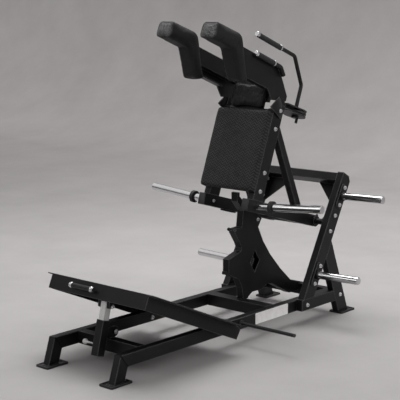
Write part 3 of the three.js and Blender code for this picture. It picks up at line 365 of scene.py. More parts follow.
def zinc_plate():
    """Dull bright plating of the screws."""
    material, tree, shader, place = start_material(
        "zinc_plate", (0.8, 0.8, 0.81, 1), roughness=0.28, metallic=0.75)
    dust = noise(tree, place, scale=420, detail=5)
    tones = two_tones(tree, dust, 0.3, 0.75, zinc_dark, zinc_pale)
    drive(shader, "Base Color", tones)
    return material


zinc = zinc_plate()
bolt_washer = 0.0135
bolt_washer_thick = 0.002
bolt_head = 0.0105
bolt_tall = 0.0075
bolt_socket = 0.0045
bolt_round = 0.001
soft_angle = math.radians(35)


def edit_faces(piece, wanted):
    """Edit mode with only the faces selected that a test on centre and normal picks."""
    bpy.ops.object.mode_set(mode="EDIT")
    bpy.ops.mesh.select_mode(type="FACE")
    bpy.ops.mesh.select_all(action="DESELECT")
    bpy.ops.object.mode_set(mode="OBJECT")
    for polygon in piece.data.polygons:
        polygon.select = wanted(polygon.center, polygon.normal)
    bpy.ops.object.mode_set(mode="EDIT")


def push(move):
    """Extrude the selected faces by a move."""
    bpy.ops.mesh.extrude_region_move(TRANSFORM_OT_translate={"value": move})


def make_bolt():
    """A socket screw with its washer, standing on the origin along Z, with shade painted black in
    its socket.
    """
    deselect()
    bpy.ops.mesh.primitive_cylinder_add(vertices=24, radius=bolt_washer, depth=bolt_washer_thick,
                                        location=(0, 0, bolt_washer_thick / 2))
    bolt = bpy.context.object
    bpy.ops.object.transform_apply(location=True)
    edit_faces(bolt, lambda centre, normal: normal.z > 0.9)
    bpy.ops.mesh.inset(thickness=bolt_washer - bolt_head)
    push((0, 0, bolt_tall - bolt_round))
    bpy.ops.mesh.inset(thickness=bolt_round)
    bpy.ops.transform.translate(value=(0, 0, bolt_round))
    bpy.ops.mesh.inset(thickness=bolt_head - bolt_round - bolt_socket)
    push((0, 0, -bolt_tall / 2))
    bpy.ops.object.mode_set(mode="OBJECT")
    bolt.data.materials.append(zinc)
    bolt.data.materials.append(paint)
    # The hollow of the socket takes the black coat: painted shade.
    for polygon in bolt.data.polygons:
        inside = Vector(polygon.center[:2]).length < bolt_socket * 1.05
        polygon.material_index = 1 if inside and polygon.center.z > bolt_tall / 4 else 0
    return bolt


bolt_mesh = make_bolt().data.copy()
bpy.data.objects.remove(bpy.context.object)


def bolt_group(name, places, normal, body, size=1.0, finish=zinc):
    """Bolts of one group, set on a face that looks along the normal, as one piece."""
    turn = Vector((0, 0, 1)).rotation_difference(Vector(normal)).to_matrix().to_4x4()
    deselect()
    made = []
    for place in places:
        mesh = bolt_mesh.copy()
        mesh.transform(Matrix.Translation(Vector(place)) @ turn @ Matrix.Scale(size, 4))
        bolt = bpy.data.objects.new(name, mesh)
        bpy.context.collection.objects.link(bolt)
        bolt.select_set(True)
        made.append(bolt)
    bpy.context.view_layer.objects.active = made[0]
    if len(made) > 1:
        bpy.ops.object.join()
    made[0].name = name
    made[0].data.materials[0] = finish
    bpy.ops.object.shade_smooth_by_angle(angle=soft_angle)
    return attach(made[0], body)


foot_thick = 0.0085
rail_wide = 0.050
rail_inner = 0.243
rail_outer = rail_inner + rail_wide
foot_spots = {"front": (0.261, -1.050), "rear": (0.318, 1.050)}
foot_bolt_reach = 0.064
for end, (x, y) in foot_spots.items():
    spots = [(side_of(name) * x, y + reach, foot_thick)
             for name in both for reach in (-foot_bolt_reach, foot_bolt_reach)]
    bolt_group(f"{end}_foot_bolts", spots, (0, 0, 1), "frame", size=0.85, finish=paint)


def cube_between(low, high):
    """A cube primitive at its size and place, with its place in its mesh."""
    deselect()
    middle = (Vector(low) + Vector(high)) / 2
    bpy.ops.mesh.primitive_cube_add(size=1, location=middle, scale=Vector(high) - Vector(low))
    bpy.ops.object.transform_apply(location=True, rotation=True, scale=True)
    return bpy.context.object


def pores(tree, place, scale):
    """A texture of small cells."""
    cells = tree.nodes.new("ShaderNodeTexVoronoi")
    cells.inputs["Scale"].default_value = scale
    tree.links.new(place, cells.inputs["Vector"])
    return cells.outputs["Distance"]


def black_rubber(name, grain=700.0, roughness=0.72, dark=0.007, pale=0.018):
    """Dry black rubber with a faint bloom and fine pores."""
    material, tree, shader, place = start_material(name, (0.010, 0.010, 0.010, 1), roughness)
    bloom = noise(tree, place, scale=30, detail=7)
    tones = two_tones(tree, bloom, 0.3, 0.75, (dark, dark, dark, 1), (pale, pale, pale, 1))
    drive(shader, "Base Color", tones)
    relief = bumped(tree, pores(tree, place, grain), strength=0.3, distance=0.0005)
    drive(shader, "Normal", relief)
    return material


def finish_piece(piece, name, material, body, angle=soft_angle):
    """Name a modelled piece, give it its finish and let it ride on its body."""
    bpy.ops.object.mode_set(mode="OBJECT")
    piece.name = name
    piece.data.materials.append(material)
    bpy.ops.object.shade_smooth_by_angle(angle=angle)
    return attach(piece, body)


foot_pad_half = (0.0515, 0.0813)
foot_pad_tall = 0.0125
foot_pad_corner = 0.009
foot_pad_edge = 0.003
foot_pad_rim = 0.007
foot_pad_lip = 0.0035
hair = 0.0001
foot_rubber = black_rubber("foot_rubber", roughness=0.5, dark=0.002, pale=0.005)
for end, (x, y) in foot_spots.items():
    for side_name in both:
        across, along = foot_pad_half
        middle = side_of(side_name) * x
        pad = cube_between((middle - across, y - along, 0),
                           (middle + across, y + along, foot_pad_tall))
        edit_edges(pad, lambda a, b: abs(a.z - b.z) > foot_pad_tall - hair)
        bpy.ops.mesh.bevel(offset=foot_pad_corner, segments=6, affect="EDGES")
        edit_edges(pad, lambda a, b: min(a.z, b.z) > foot_pad_tall - hair)
        bpy.ops.mesh.bevel(offset=foot_pad_edge, segments=3, affect="EDGES")
        edit_faces(pad, lambda centre, normal: normal.z > 0.99)
        bpy.ops.mesh.inset(thickness=foot_pad_rim)
        push((0, 0, -foot_pad_lip))
        finish_piece(pad, f"{end}_foot_pad_{side_name}", foot_rubber, "frame")

rail_bolt = (-0.233, 0.117)
bolt_group("rail_bolt_right", [(-rail_inner, *rail_bolt)], (1, 0, 0), "frame")
bolt_group("rail_bolt_left", [(rail_inner, *rail_bolt)], (-1, 0, 0), "frame")


# Rail plate. A thin satin plate with rounded corners and a rolled rim is fixed flat to the
# outside of the left rail, near its rear end.
plate_thick = 0.003
plate_from = Vector((rail_outer, 0.132, 0.093))
plate_to = Vector((rail_outer + plate_thick, 0.464, 0.162))
plate_corner = 0.006
plate_rim = 0.003
plate_sunk = 0.0008
plate_dark = (0.82, 0.81, 0.80, 1)
plate_pale = (0.93, 0.92, 0.91, 1)


def plate_enamel():
    """Pale satin enamel with a faint haze."""
    material, tree, shader, place = start_material(
        "plate_enamel", (0.90, 0.89, 0.88, 1), roughness=0.38)
    haze = noise(tree, place, scale=35, detail=8)
    tones = two_tones(tree, haze, 0.3, 0.75, plate_dark, plate_pale)
    drive(shader, "Base Color", tones)
    return material


plate = cube_between(plate_from, plate_to)
edit_edges(plate, lambda a, b: abs(a.x - b.x) > plate_thick / 2)
bpy.ops.mesh.bevel(offset=plate_corner, segments=4, affect="EDGES")
edit_faces(plate, lambda centre, normal: normal.x > 0.9)
bpy.ops.mesh.inset(thickness=plate_rim)
bpy.ops.transform.translate(value=(-plate_sunk, 0, 0))
finish_piece(plate, "bare_plate", plate_enamel(), "frame")


# Rear A-frames. Each side has a raked upright of 100 by 50 tube, a rear leg and a side beam,
# all painted, with moulded caps in the open tops and bolts through the outer faces.
upright_lean = math.radians(28.6)
upright_foot = Vector((0, 0.573, 0.170))
upright_long = 0.895
upright_deep = 0.100
upright_middle = upright_deep / 2
upright_cut = 0.025
upright_outer = 0.343
cap_thick = 0.004
cap_edge = 0.0015
cap_inset = 0.001
plastic_dark = (0.009, 0.009, 0.009, 1)
plastic_pale = (0.02, 0.02, 0.02, 1)


def leaning_frame(foot, second, third):
    """The frame of a leaning piece: its foot, and its second and third axes seen from the side."""
    return Matrix((
        (1, 0, 0, 0),
        (0, second[0], third[0], foot.y),
        (0, second[1], third[1], foot.z),
        (0, 0, 0, 1),
    ))


upright_frame = leaning_frame(upright_foot, (math.cos(upright_lean), -math.sin(upright_lean)),
                              (math.sin(upright_lean), math.cos(upright_lean)))
coat(paint, "top_crossbeam", *on_both_sides("upright", "rear_leg", "side_beam"))


def moulded_plastic(name):
    """Fine-grained black plastic of the tube caps."""
    material, tree, shader, place = start_material(name, (0.012, 0.012, 0.012, 1), roughness=0.5)
    grain = noise(tree, place, scale=1500)
    tones = two_tones(tree, grain, 0.3, 0.8, plastic_dark, plastic_pale)
    drive(shader, "Base Color", tones)
    relief = bumped(tree, grain, strength=0.2, distance=0.0003)
    drive(shader, "Normal", relief)
    return material


def turn_outwards():
    """Turn all faces of the piece in hand outwards."""
    bpy.ops.object.mode_set(mode="EDIT")
    bpy.ops.mesh.select_all(action="SELECT")
    bpy.ops.mesh.normals_make_consistent(inside=False)


def rounded_block(name, low, high, edge, place, material, body):
    """A block with softened edges, set in the frame of its piece."""
    piece = cube_between(low, high)
    bpy.ops.object.mode_set(mode="EDIT")
    bpy.ops.mesh.select_all(action="SELECT")
    bpy.ops.mesh.bevel(offset=edge, segments=2, affect="EDGES")
    bpy.ops.object.mode_set(mode="OBJECT")
    piece.data.transform(place)
    turn_outwards()
    return finish_piece(piece, name, material, body)


def across_machine(side, near, far):
    """A span between two distances from the middle plane, from low to high X."""
    return sorted((side * near, side * far))


plastic = moulded_plastic("moulded_plastic")
for side_name in both:
    side = side_of(side_name)
    low, high = across_machine(side, rail_outer + cap_inset, upright_outer - cap_inset)
    rounded_block(f"upright_cap_{side_name}", (low, cap_inset, upright_long),
                  (high, upright_deep - upright_cut, upright_long + cap_thick),
                  cap_edge, upright_frame, plastic, "frame")


def on_upright(side, x, z, shift=0):
    """A point on an upright's centre line at a height, or shifted from it along the tube."""
    up = (z - upright_foot.z + upright_middle * math.sin(upright_lean)) / math.cos(upright_lean)
    return upright_frame @ Vector((side * x, upright_middle, up + shift))


flange_face = 0.351
flange_bolts = (-0.0615, 0.0615)
peg_heights = {"upper": 0.801, "lower": 0.315}
pivot_high = 0.631
pivot_bolts = (-0.055, 0.055)
side_beam_bolts = ((0.612, 0.130), (0.985, 0.130))
for side_name in both:
    side = side_of(side_name)
    outward = (side, 0, 0)
    spots = [on_upright(side, flange_face, z, shift)
             for z in peg_heights.values() for shift in flange_bolts]
    bolt_group(f"peg_flange_bolts_{side_name}", spots, outward, "frame")
    spots = [on_upright(side, rail_outer, peg_heights["upper"], shift) for shift in flange_bolts]
    bolt_group(f"peg_flange_nuts_{side_name}", spots, (-side, 0, 0), "frame", size=0.9)
    spots = [on_upright(side, upright_outer, pivot_high, shift) for shift in pivot_bolts]
    bolt_group(f"pivot_bolts_{side_name}", spots, outward, "frame")
    spots = [(side * upright_outer, *spot) for spot in side_beam_bolts]
    bolt_group(f"side_beam_bolts_{side_name}", spots, outward, "frame")


# Weight pegs. Four polished chrome pegs for spare plates stand out of painted flanges, two on
# each upright. A painted round boss stiffens the root of each.
chrome_dark = (0.58, 0.58, 0.59, 1)
chrome_pale = (0.74, 0.74, 0.75, 1)
peg_boss_long = 0.021
peg_boss_radius = 0.0300
peg_boss_edge = 0.006
end_rim = 0.25
end_slope = 0.2
end_sunk = 0.94


def chrome_maps(tree, place):
    """Fine turning marks for chrome: a colour and a roughness."""
    marks = noise(tree, place, scale=160, detail=6)
    tones = two_tones(tree, marks, 0.3, 0.8, chrome_dark, chrome_pale)
    return tones, spread(tree, marks, 0.06, 0.16)


def chrome_plate(name):
    """Polished chrome all over a piece."""
    material, tree, shader, place = start_material(
        name, (0.8, 0.8, 0.81, 1), roughness=0.1, metallic=1.0)
    tones, gloss = chrome_maps(tree, place)
    drive(shader, "Base Color", tones)
    drive(shader, "Roughness", gloss)
    return material


def taken_up(material):
    """A finish taken up again: its nodes, its shader and the place on the piece."""
    tree = material.node_tree
    return tree, tree.nodes["Principled BSDF"], tree.nodes["Texture Coordinate"].outputs["Object"]


def wired(shader, name):
    """What feeds a socket of a shader."""
    return shader.inputs[name].links[0].from_socket


def painted_and_chromed(name, mask):
    """One finish that is chrome where the mask is 1 and powder coat elsewhere."""
    material = powder_coat(name)
    tree, shader, place = taken_up(material)
    where = mask(tree, place)
    tones, gloss = chrome_maps(tree, place)
    colour = blend(tree, where, wired(shader, "Base Color"), tones)
    rough = blend(tree, where, wired(shader, "Roughness"), gloss, "FLOAT")
    drive(shader, "Base Color", colour)
    drive(shader, "Roughness", rough)
    drive(shader, "Metallic", where)
    return material


def far_out(tree, place, reach):
    """1 where a point is further than a reach from the machine's middle plane."""
    return worked(tree, "GREATER_THAN", worked(tree, "ABSOLUTE", axis_of(tree, place, "X")), reach)


def peg_mask(tree, place):
    """1 on a peg, out of its boss."""
    return far_out(tree, place, flange_face + peg_boss_long / 2)


def turned_end(name, middle, radius, long, edge, finish, body):
    """A turned button or boss with rounded rims and dished ends, set across the machine."""
    deselect()
    bpy.ops.mesh.primitive_cylinder_add(vertices=40, radius=radius, depth=long, location=middle,
                                        rotation=(0, math.pi / 2, 0))
    bpy.ops.object.transform_apply(location=True, rotation=True)
    button = bpy.context.object
    edit_faces(button, lambda centre, normal: abs(normal.x) > 0.9)
    bpy.ops.mesh.inset(thickness=radius * end_rim)
    bpy.ops.mesh.inset(thickness=radius * end_slope)
    bpy.ops.transform.resize(value=(end_sunk, 1, 1))
    edit_edges(button, lambda a, b: abs(abs(a.x - middle[0]) - long / 2) < hair
               and Vector((0, a.y - middle[1], a.z - middle[2])).length > radius * 0.99
               and abs(a.x - b.x) < hair)
    bpy.ops.mesh.bevel(offset=edge, segments=4, affect="EDGES")
    return finish_piece(button, name, finish, body, math.radians(40))


chrome = chrome_plate("chrome_plate")
coat(painted_and_chromed("peg_finish", peg_mask), *on_both_sides("upper_peg", "lower_peg"))
for side_name in both:
    for level, z in peg_heights.items():
        middle = on_upright(side_of(side_name), flange_face + peg_boss_long / 2, z)
        turned_end(f"{level}_peg_boss_{side_name}", middle, peg_boss_radius, peg_boss_long,
                   peg_boss_edge, paint, "frame")


# Centre fin. Two laser-cut plates over a bent edge band carry the rack of stops at the back
# and a rubber bumper at the front. It stands on the rear cross-members.
rubber = black_rubber("black_rubber")
coat(paint, "centre_fin")
coat(foot_rubber, "fin_bumper")
fin_side = 0.025
fin_bolts = {"top": (0.489, 0.674), "tip": (0.254, 0.636)}
for side_name in both:
    side = side_of(side_name)
    for spot_name, finish in (("top", zinc), ("tip", paint)):
        bolt_group(f"fin_{spot_name}_bolt_{side_name}", [(side * fin_side, *fin_bolts[spot_name])],
                   (side, 0, 0), "frame", size=0.9, finish=finish)


# Band rods. A round steel bar stands out of each rail for stretch bands. It is welded to the
# rail and coated with it, a little glossier from wear.
coat(powder_coat("powder_coat_rod", roughness=0.34), *on_both_sides("band_rod"))


# Lever arms. Two tubes turn together on a fixed steel shaft between the uprights. They hold
# chromed horns for the weight plates, with rubber collars, end caps and rubber stop pads.
arm_slope = math.radians(15.7)
pivot = Vector((0, 0.881294, pivot_high))
arm_inner = 0.152
arm_outer = 0.202
arm_half_deep = 0.0375
arm_long = 0.744
arm_frame = leaning_frame(pivot, (-math.cos(arm_slope), math.sin(arm_slope)),
                          (math.sin(arm_slope), math.cos(arm_slope)))
stop_from = 0.399
stop_to = 0.518
stop_thick = 0.010
stop_inset = 0.005
stop_edge = 0.003
housing_bolts = ((0.896, 0.664), (0.873, 0.611))
horn_nut_along = 0.654

coat(paint, "pivot_shaft", "pivot_housing", *on_both_sides("lever_arm"))
coat(chrome, *on_both_sides("weight_horn"))
coat(rubber, *on_both_sides("horn_collar"))
for side_name in both:
    side = side_of(side_name)
    low, high = across_machine(side, arm_inner + cap_inset, arm_outer - cap_inset)
    deep = arm_half_deep - cap_inset
    rounded_block(f"arm_cap_{side_name}", (low, arm_long, -deep), (high, arm_long + cap_thick, deep),
                  cap_edge, arm_frame, plastic, "carriage")
    low, high = across_machine(side, arm_inner + stop_inset, arm_outer - stop_inset)
    rounded_block(f"stop_pad_{side_name}", (low, stop_from, -arm_half_deep - stop_thick),
                  (high, stop_to, -arm_half_deep), stop_edge, arm_frame, rubber, "carriage")
    spots = [(side * arm_outer, *spot) for spot in housing_bolts]
    bolt_group(f"housing_bolts_{side_name}", spots, (side, 0, 0), "carriage",
               size=0.9, finish=paint)
    spots = [arm_frame @ Vector((side * arm_inner, horn_nut_along, 0))]
    bolt_group(f"horn_nut_{side_name}", spots, (-side, 0, 0), "carriage", size=0.8)


# Back frame. Two raked tubes stand on the lever arms, held by slanted braces and a cross
# tube behind the neck pad.
back_lean = math.radians(20.5)
back_foot = Vector((0, 0.175294, 0.912))
back_up = (math.sin(back_lean), math.cos(back_lean))
back_ahead = (-math.cos(back_lean), math.sin(back_lean))
back_frame = leaning_frame(back_foot, back_up, back_ahead)
back_bolts = ((0.027, -0.105), (0.148, -0.105), (0.435, -0.112))

coat(paint, "back_cross_tube", *on_both_sides("back_upright", "brace"))
for side_name in both:
    side = side_of(side_name)
    spots = [back_frame @ Vector((side * arm_outer, *spot)) for spot in back_bolts]
    bolt_group(f"back_bolts_{side_name}", spots, (side, 0, 0), "carriage")


# Back pad. Firm foam on a painted board, under a thick black cover with a coarse pressed
# grain. The cover is drawn round the rounded edges and sewn along the rim.
pad_dark = (0.010, 0.010, 0.0102, 1)
pad_pale = (0.042, 0.042, 0.0425, 1)
pad_shine = 0.22
pad_roughness = 0.62
weave_turn = 0.020
weave_pitch = 0.019
back_half = 0.216
back_high = 0.533
back_thick = 0.0428
back_front = 0.005
back_corner = 0.030
back_rim = 0.010


def chevron_weave(tree, place):
    """Pressed zigzag ribs that climb the pad."""
    climb = measured(tree, place, back_foot, (0, *back_up))
    zigzag = worked(tree, "PINGPONG", axis_of(tree, place, "X"), weave_turn)
    rib = worked(tree, "ADD", climb, zigzag)
    wave = worked(tree, "SINE", worked(tree, "MULTIPLY", rib, 2 * math.pi / weave_pitch))
    return worked(tree, "ADD", worked(tree, "MULTIPLY", wave, 0.5), 0.5)


def pad_cover(name, relief, low, high, fine, crease, pale=pad_pale):
    """Thick black cover: its own relief with shade painted in its hollows, soft creases and a dry
    sheen.
    """
    material, tree, shader, place = start_material(name, pad_dark, pad_roughness)
    shader.inputs["Specular IOR Level"].default_value = pad_shine
    height = relief(tree, place)
    clouds = noise(tree, place, scale=26, detail=9, distortion=0.6)
    # Paler on the crests of the relief and darker in its hollows: painted shade, broken up by random
    # clouds.
    tones = two_tones(tree, worked(tree, "MULTIPLY", height, clouds), low, high, pad_dark, pale)
    drive(shader, "Base Color", tones)
    folds = noise(tree, place, scale=9, detail=5, distortion=1.4)
    grained = bumped(tree, height, strength=0.6, distance=fine)
    surface = bumped(tree, folds, strength=crease, distance=0.006, under=grained)
    drive(shader, "Normal", surface)
    return material


cloth_steps = 20
cloth_voxel = 0.005
cloth_pressure = 4.0


def stuff(piece, cap, voxel=cloth_voxel):
    """Remesh a cover finely and blow it up with a cloth simulation, up to a cap."""
    deselect()
    piece.select_set(True)
    bpy.context.view_layer.objects.active = piece
    remesh = piece.modifiers.new("remesh", "REMESH")
    remesh.mode = "VOXEL"
    remesh.voxel_size = voxel
    bpy.ops.object.modifier_apply(modifier="remesh")
    rest = [vertex.co.copy() for vertex in piece.data.vertices]
    cloth = piece.modifiers.new("cloth", "CLOTH")
    cloth.settings.use_pressure = True
    cloth.settings.uniform_pressure_force = cloth_pressure
    cloth.settings.effector_weights.gravity = 0
    cloth.settings.quality = 4
    cloth.point_cache.frame_start = 1
    cloth.point_cache.frame_end = cloth_steps
    for step in range(1, cloth_steps + 1):
        bpy.context.scene.frame_set(step)
    bpy.ops.object.modifier_apply(modifier="cloth")
    bpy.context.scene.frame_set(1)
    for vertex, start in zip(piece.data.vertices, rest):
        move = vertex.co - start
        if move.length > cap:
            vertex.co = start + move.normalized() * cap
    smooth = piece.modifiers.new("smooth", "SMOOTH")
    smooth.factor = 0.5
    smooth.iterations = 4
    bpy.ops.object.modifier_apply(modifier="smooth")
    bpy.ops.object.shade_smooth()


seam_thread = 0.0022
seam_proud = 0.0008
seam_cuts = 14


def sewn_seam(name, corners, pad, cover):
    """A sewn welt: a ring of points laid on the pad's skin and drawn as a thin cord."""
    deselect()
    bpy.ops.mesh.primitive_circle_add(vertices=len(corners), radius=0.1)
    seam = bpy.context.object
    for vertex, corner in zip(seam.data.vertices, corners):
        vertex.co = corner
    bpy.ops.object.mode_set(mode="EDIT")
    bpy.ops.mesh.select_all(action="SELECT")
    bpy.ops.mesh.subdivide(number_cuts=seam_cuts)
    bpy.ops.object.mode_set(mode="OBJECT")
    wrap = seam.modifiers.new("wrap", "SHRINKWRAP")
    wrap.target = pad
    wrap.wrap_method = "NEAREST_SURFACEPOINT"
    wrap.wrap_mode = "ABOVE_SURFACE"
    wrap.offset = seam_proud
    bpy.ops.object.modifier_apply(modifier="wrap")
    ease = seam.modifiers.new("ease", "SMOOTH")
    ease.iterations = 2
    bpy.ops.object.modifier_apply(modifier="ease")
    bpy.ops.object.convert(target="CURVE")
    seam.data.bevel_depth = seam_thread
    seam.data.bevel_resolution = 2
    bpy.ops.object.convert(target="MESH")
    seam = bpy.context.object
    seam.data.transform(back_frame)
    seam.name = name
    seam.data.materials.clear()
    seam.data.materials.append(cover)
    bpy.ops.object.shade_smooth()
    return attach(seam, "carriage")


def slab_rim(half, low, high, front, corner):
    """The points of a slab's rim, with its corners cut."""
    cut = half - corner
    rim = [(-half, low + corner), (-cut, low), (cut, low), (half, low + corner),
           (half, high - corner), (cut, high), (-cut, high), (-half, high - corner)]
    return [(across, up, -front) for across, up in rim]


def slab_pad(name, half, low, high, back, front, corner, edge):
    """A cushion blank in the back frame: a slab with round corners and a rounded front rim."""
    near = 0.0005
    pad = cube_between((-half, low, -back), (half, high, -front))
    edit_edges(pad, lambda a, b: abs(a.z - b.z) > back - front - near)
    bpy.ops.mesh.bevel(offset=corner, segments=6, affect="EDGES")
    edit_edges(pad, lambda a, b: min(a.z, b.z) > -front - near)
    bpy.ops.mesh.bevel(offset=edge, segments=5, affect="EDGES")
    edit_edges(pad, lambda a, b: max(a.z, b.z) < -back + near)
    bpy.ops.mesh.bevel(offset=edge / 3, segments=2, affect="EDGES")
    bpy.ops.object.mode_set(mode="OBJECT")
    pad.name = name
    return pad


def set_on_back(pad, cover, node):
    """Set a stuffed cushion on the leaning back frame, in place of its plain solid."""
    pad.data.transform(back_frame)
    pad.data.materials.append(cover)
    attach(pad, "carriage")
    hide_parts(node)


back_pad = slab_pad("back_pad_cover", back_half, 0, back_high,
                    back_thick, back_front, back_corner, back_rim)
stuff(back_pad, cap=0.006)
weave_cover = pad_cover("back_pad_weave", chevron_weave, low=0.08, high=0.55,
                        fine=0.0030, crease=0.2)
back_seam_line = slab_rim(back_half, 0, back_high, front=0.004, corner=0.011)
sewn_seam("back_pad_seam", back_seam_line, back_pad, weave_cover)
set_on_back(back_pad, weave_cover, "back_pad")
coat(paint, "back_pad_board", "neck_pad_board")


# Neck pad. A smaller foam cushion above the back pad, in a softer cover that is gathered in
# creases. A painted steel cross plate between the back tubes carries its board.
mount_plate_half = 0.1515
mount_plate_low = 0.592
mount_plate_high = 0.742
mount_plate_near = 0.0585
mount_plate_far = 0.0645
mount_plate_edge = 0.001
rounded_block("neck_mount_plate", (-mount_plate_half, mount_plate_low, -mount_plate_far),
              (mount_plate_half, mount_plate_high, -mount_plate_near),
              mount_plate_edge, back_frame, paint, "carriage")

swell = 0.002
neck_low = 0.542
neck_high = 0.705
neck_half = 0.136
neck_thick = 0.0498
neck_front = 0.010
neck_corner = 0.026
neck_rim = 0.016
crease_stretch = (95, 95, 24)
crease_turn = 0.25


def gathered_creases(tree, place):
    """Thin creases that run up the pad, where the cover is gathered."""
    turned = tree.nodes.new("ShaderNodeMapping")
    turned.inputs["Rotation"].default_value = (-back_lean, crease_turn, 0)
    turned.inputs["Scale"].default_value = crease_stretch
    tree.links.new(place, turned.inputs["Vector"])
    return noise(tree, turned.outputs["Vector"], scale=1.0, detail=4, distortion=1.6)


neck_pad = slab_pad("neck_pad_cover", neck_half - swell, neck_low + swell, neck_high - swell,
                    neck_thick, neck_front, neck_corner, neck_rim)
stuff(neck_pad, cap=0.011)
gathered_cover = pad_cover("neck_pad_creases", gathered_creases, low=0.24, high=0.44,
                           fine=0.010, crease=0.3)
neck_seam_line = slab_rim(neck_half, neck_low, neck_high, front=0.006, corner=0.009)
sewn_seam("neck_pad_seam", neck_seam_line, neck_pad, gathered_cover)
set_on_back(neck_pad, gathered_cover, "neck_pad")


# Shoulder pads. Two thick bent cushions lie over the slanted front edge of the yokes. Their
# covers are smooth at the sides and gathered into a coarse patch on the front end.
shoulder_inner = 0.115
shoulder_wide = 0.120
shoulder_outline = [
    (0.764, 0.692, 0.020), (0.764, 0.480, 0.014), (0.598, 0.355, 0.014), (0.623, 0.286, 0.014),
    (0.816, 0.407, 0.030), (0.866, 0.446, 0.030), (0.863, 0.680, 0.020),
]
shoulder_edge = 0.022
shoulder_voxel = 0.006
shoulder_pores = 430
shoulder_pale = (0.015, 0.015, 0.0152, 1)
end_patch_from = 0.672
end_patch_soft = 0.010
end_patch_low = 0.764
end_patch_high = 0.864
end_patch_dark = (0.020, 0.020, 0.0202, 1)
end_patch_pale = (0.300, 0.300, 0.302, 1)


def shoulder_blank(name, side):
    """The bent outline as a filled ring, pushed out to the pad's width, with rounded edges."""
    deselect()
    bpy.ops.mesh.primitive_circle_add(vertices=len(shoulder_outline), radius=0.2, fill_type="NGON")
    pad = bpy.context.object
    low, high = across_machine(side, shoulder_inner - swell,
                               shoulder_inner + shoulder_wide + 2 * swell)
    for vertex, (up, ahead, radius) in zip(pad.data.vertices, shoulder_outline):
        vertex.co = (low, up, ahead)
    bpy.ops.object.mode_set(mode="EDIT")
    bpy.ops.mesh.select_all(action="SELECT")
    push((high - low, 0, 0))
    for up, ahead, radius in shoulder_outline:
        corner = Vector((0, up, ahead))
        edit_edges(pad, lambda a, b: abs(a.x - b.x) > shoulder_wide / 2
                   and (Vector((0, a.y, a.z)) - corner).length < 0.001)
        bpy.ops.mesh.bevel(offset=radius, segments=5, affect="EDGES")
    edit_edges(pad, lambda a, b: abs(a.x - b.x) < 0.001)
    bpy.ops.mesh.bevel(offset=shoulder_edge, segments=5, affect="EDGES")
    turn_outwards()
    bpy.ops.object.mode_set(mode="OBJECT")
    pad.name = name
    return pad


def leather_pores(tree, place):
    """Fine pebbled grain."""
    return pores(tree, place, shoulder_pores)


def shoulder_leather():
    """Pebbled leather with a coarse pale patch on the pad's front end."""
    material = pad_cover("shoulder_pad_leather", leather_pores, low=0.1, high=0.42,
                         fine=0.0010, crease=0.35, pale=shoulder_pale)
    tree, shader, place = taken_up(material)
    ahead = measured(tree, place, back_foot, (0, *back_ahead))
    patch = spread(tree, ahead, 0, 1, (end_patch_from, end_patch_from + end_patch_soft))
    crumbs = noise(tree, place, scale=150, detail=3, distortion=2.5)
    speckle = two_tones(tree, crumbs, 0.44, 0.68, end_patch_dark, end_patch_pale)
    colour = blend(tree, patch, wired(shader, "Base Color"), speckle)
    drive(shader, "Base Color", colour)
    return material


shoulder_cover = shoulder_leather()
for side_name in both:
    pad = shoulder_blank(f"shoulder_pad_cover_{side_name}", side_of(side_name))
    stuff(pad, cap=0.005, voxel=shoulder_voxel)
    low, high = across_machine(side_of(side_name), shoulder_inner, shoulder_inner + shoulder_wide)
    ring = [(low, end_patch_low, end_patch_from), (high, end_patch_low, end_patch_from),
            (high, end_patch_high, end_patch_from), (low, end_patch_high, end_patch_from)]
    sewn_seam(f"shoulder_pad_seam_{side_name}", ring, pad, shoulder_cover)
    set_on_back(pad, shoulder_cover, f"shoulder_pad_{side_name}")


# Yokes. Folded steel cheeks outside the back tubes reach forward to the shoulder pads. Each
# carries a short fixed grip, a bent tube with a rubber sleeve between a chromed ring and cap,
# and a pointed plate is bolted over its foot on the back tube.
yoke_outer = 0.2125
short_ring = (-0.0912, -0.0825)
short_cap_from = -0.2621
gusset_corners = ((0.548, 0.003), (0.634, -0.062), (0.590, -0.112), (0.506, -0.128))
gusset_inner = 0.2102
gusset_thick = 0.006
gusset_edge = 0.0008
gusset_bolt = (0.553, -0.104)


def ring_and_cap(tree, place, ring, cap_from):
    """1 at a grip's ring and end cap, by how far they lie behind the back pad's front."""
    depth = measured(tree, place, back_foot, (0, -back_ahead[0], -back_ahead[1]))
    banded = worked(tree, "MULTIPLY", worked(tree, "GREATER_THAN", depth, ring[0]),
                    worked(tree, "LESS_THAN", depth, ring[1]))
    return worked(tree, "MAXIMUM", banded, worked(tree, "LESS_THAN", depth, cap_from))


def short_grip_mask(tree, place):
    """1 at the chromed parts of a yoke's fixed grip."""
    chromed = ring_and_cap(tree, place, short_ring, short_cap_from)
    return worked(tree, "MULTIPLY", far_out(tree, place, yoke_outer), chromed)


coat(painted_and_chromed("yoke_finish", short_grip_mask), *on_both_sides("yoke"))
for side_name in both:
    side = side_of(side_name)
    deselect()
    bpy.ops.mesh.primitive_plane_add(size=1)
    gusset = bpy.context.object
    for index, corner in zip((0, 1, 3, 2), gusset_corners):
        gusset.data.vertices[index].co = back_frame @ Vector((side * gusset_inner, *corner))
    edit_faces(gusset, lambda centre, normal: True)
    push((side * gusset_thick, 0, 0))
    turn_outwards()
    bpy.ops.mesh.bevel(offset=gusset_edge, segments=2, affect="EDGES")
    finish_piece(gusset, f"yoke_gusset_{side_name}", paint, "carriage")
    spots = [back_frame @ Vector((side * (gusset_inner + gusset_thick), *gusset_bolt))]
    bolt_group(f"gusset_bolt_{side_name}", spots, (side, 0, 0), "carriage", size=0.9)
grip_rubber = black_rubber("grip_rubber", grain=520, roughness=0.6)
coat(grip_rubber, *on_both_sides("side_grip_sleeve"))


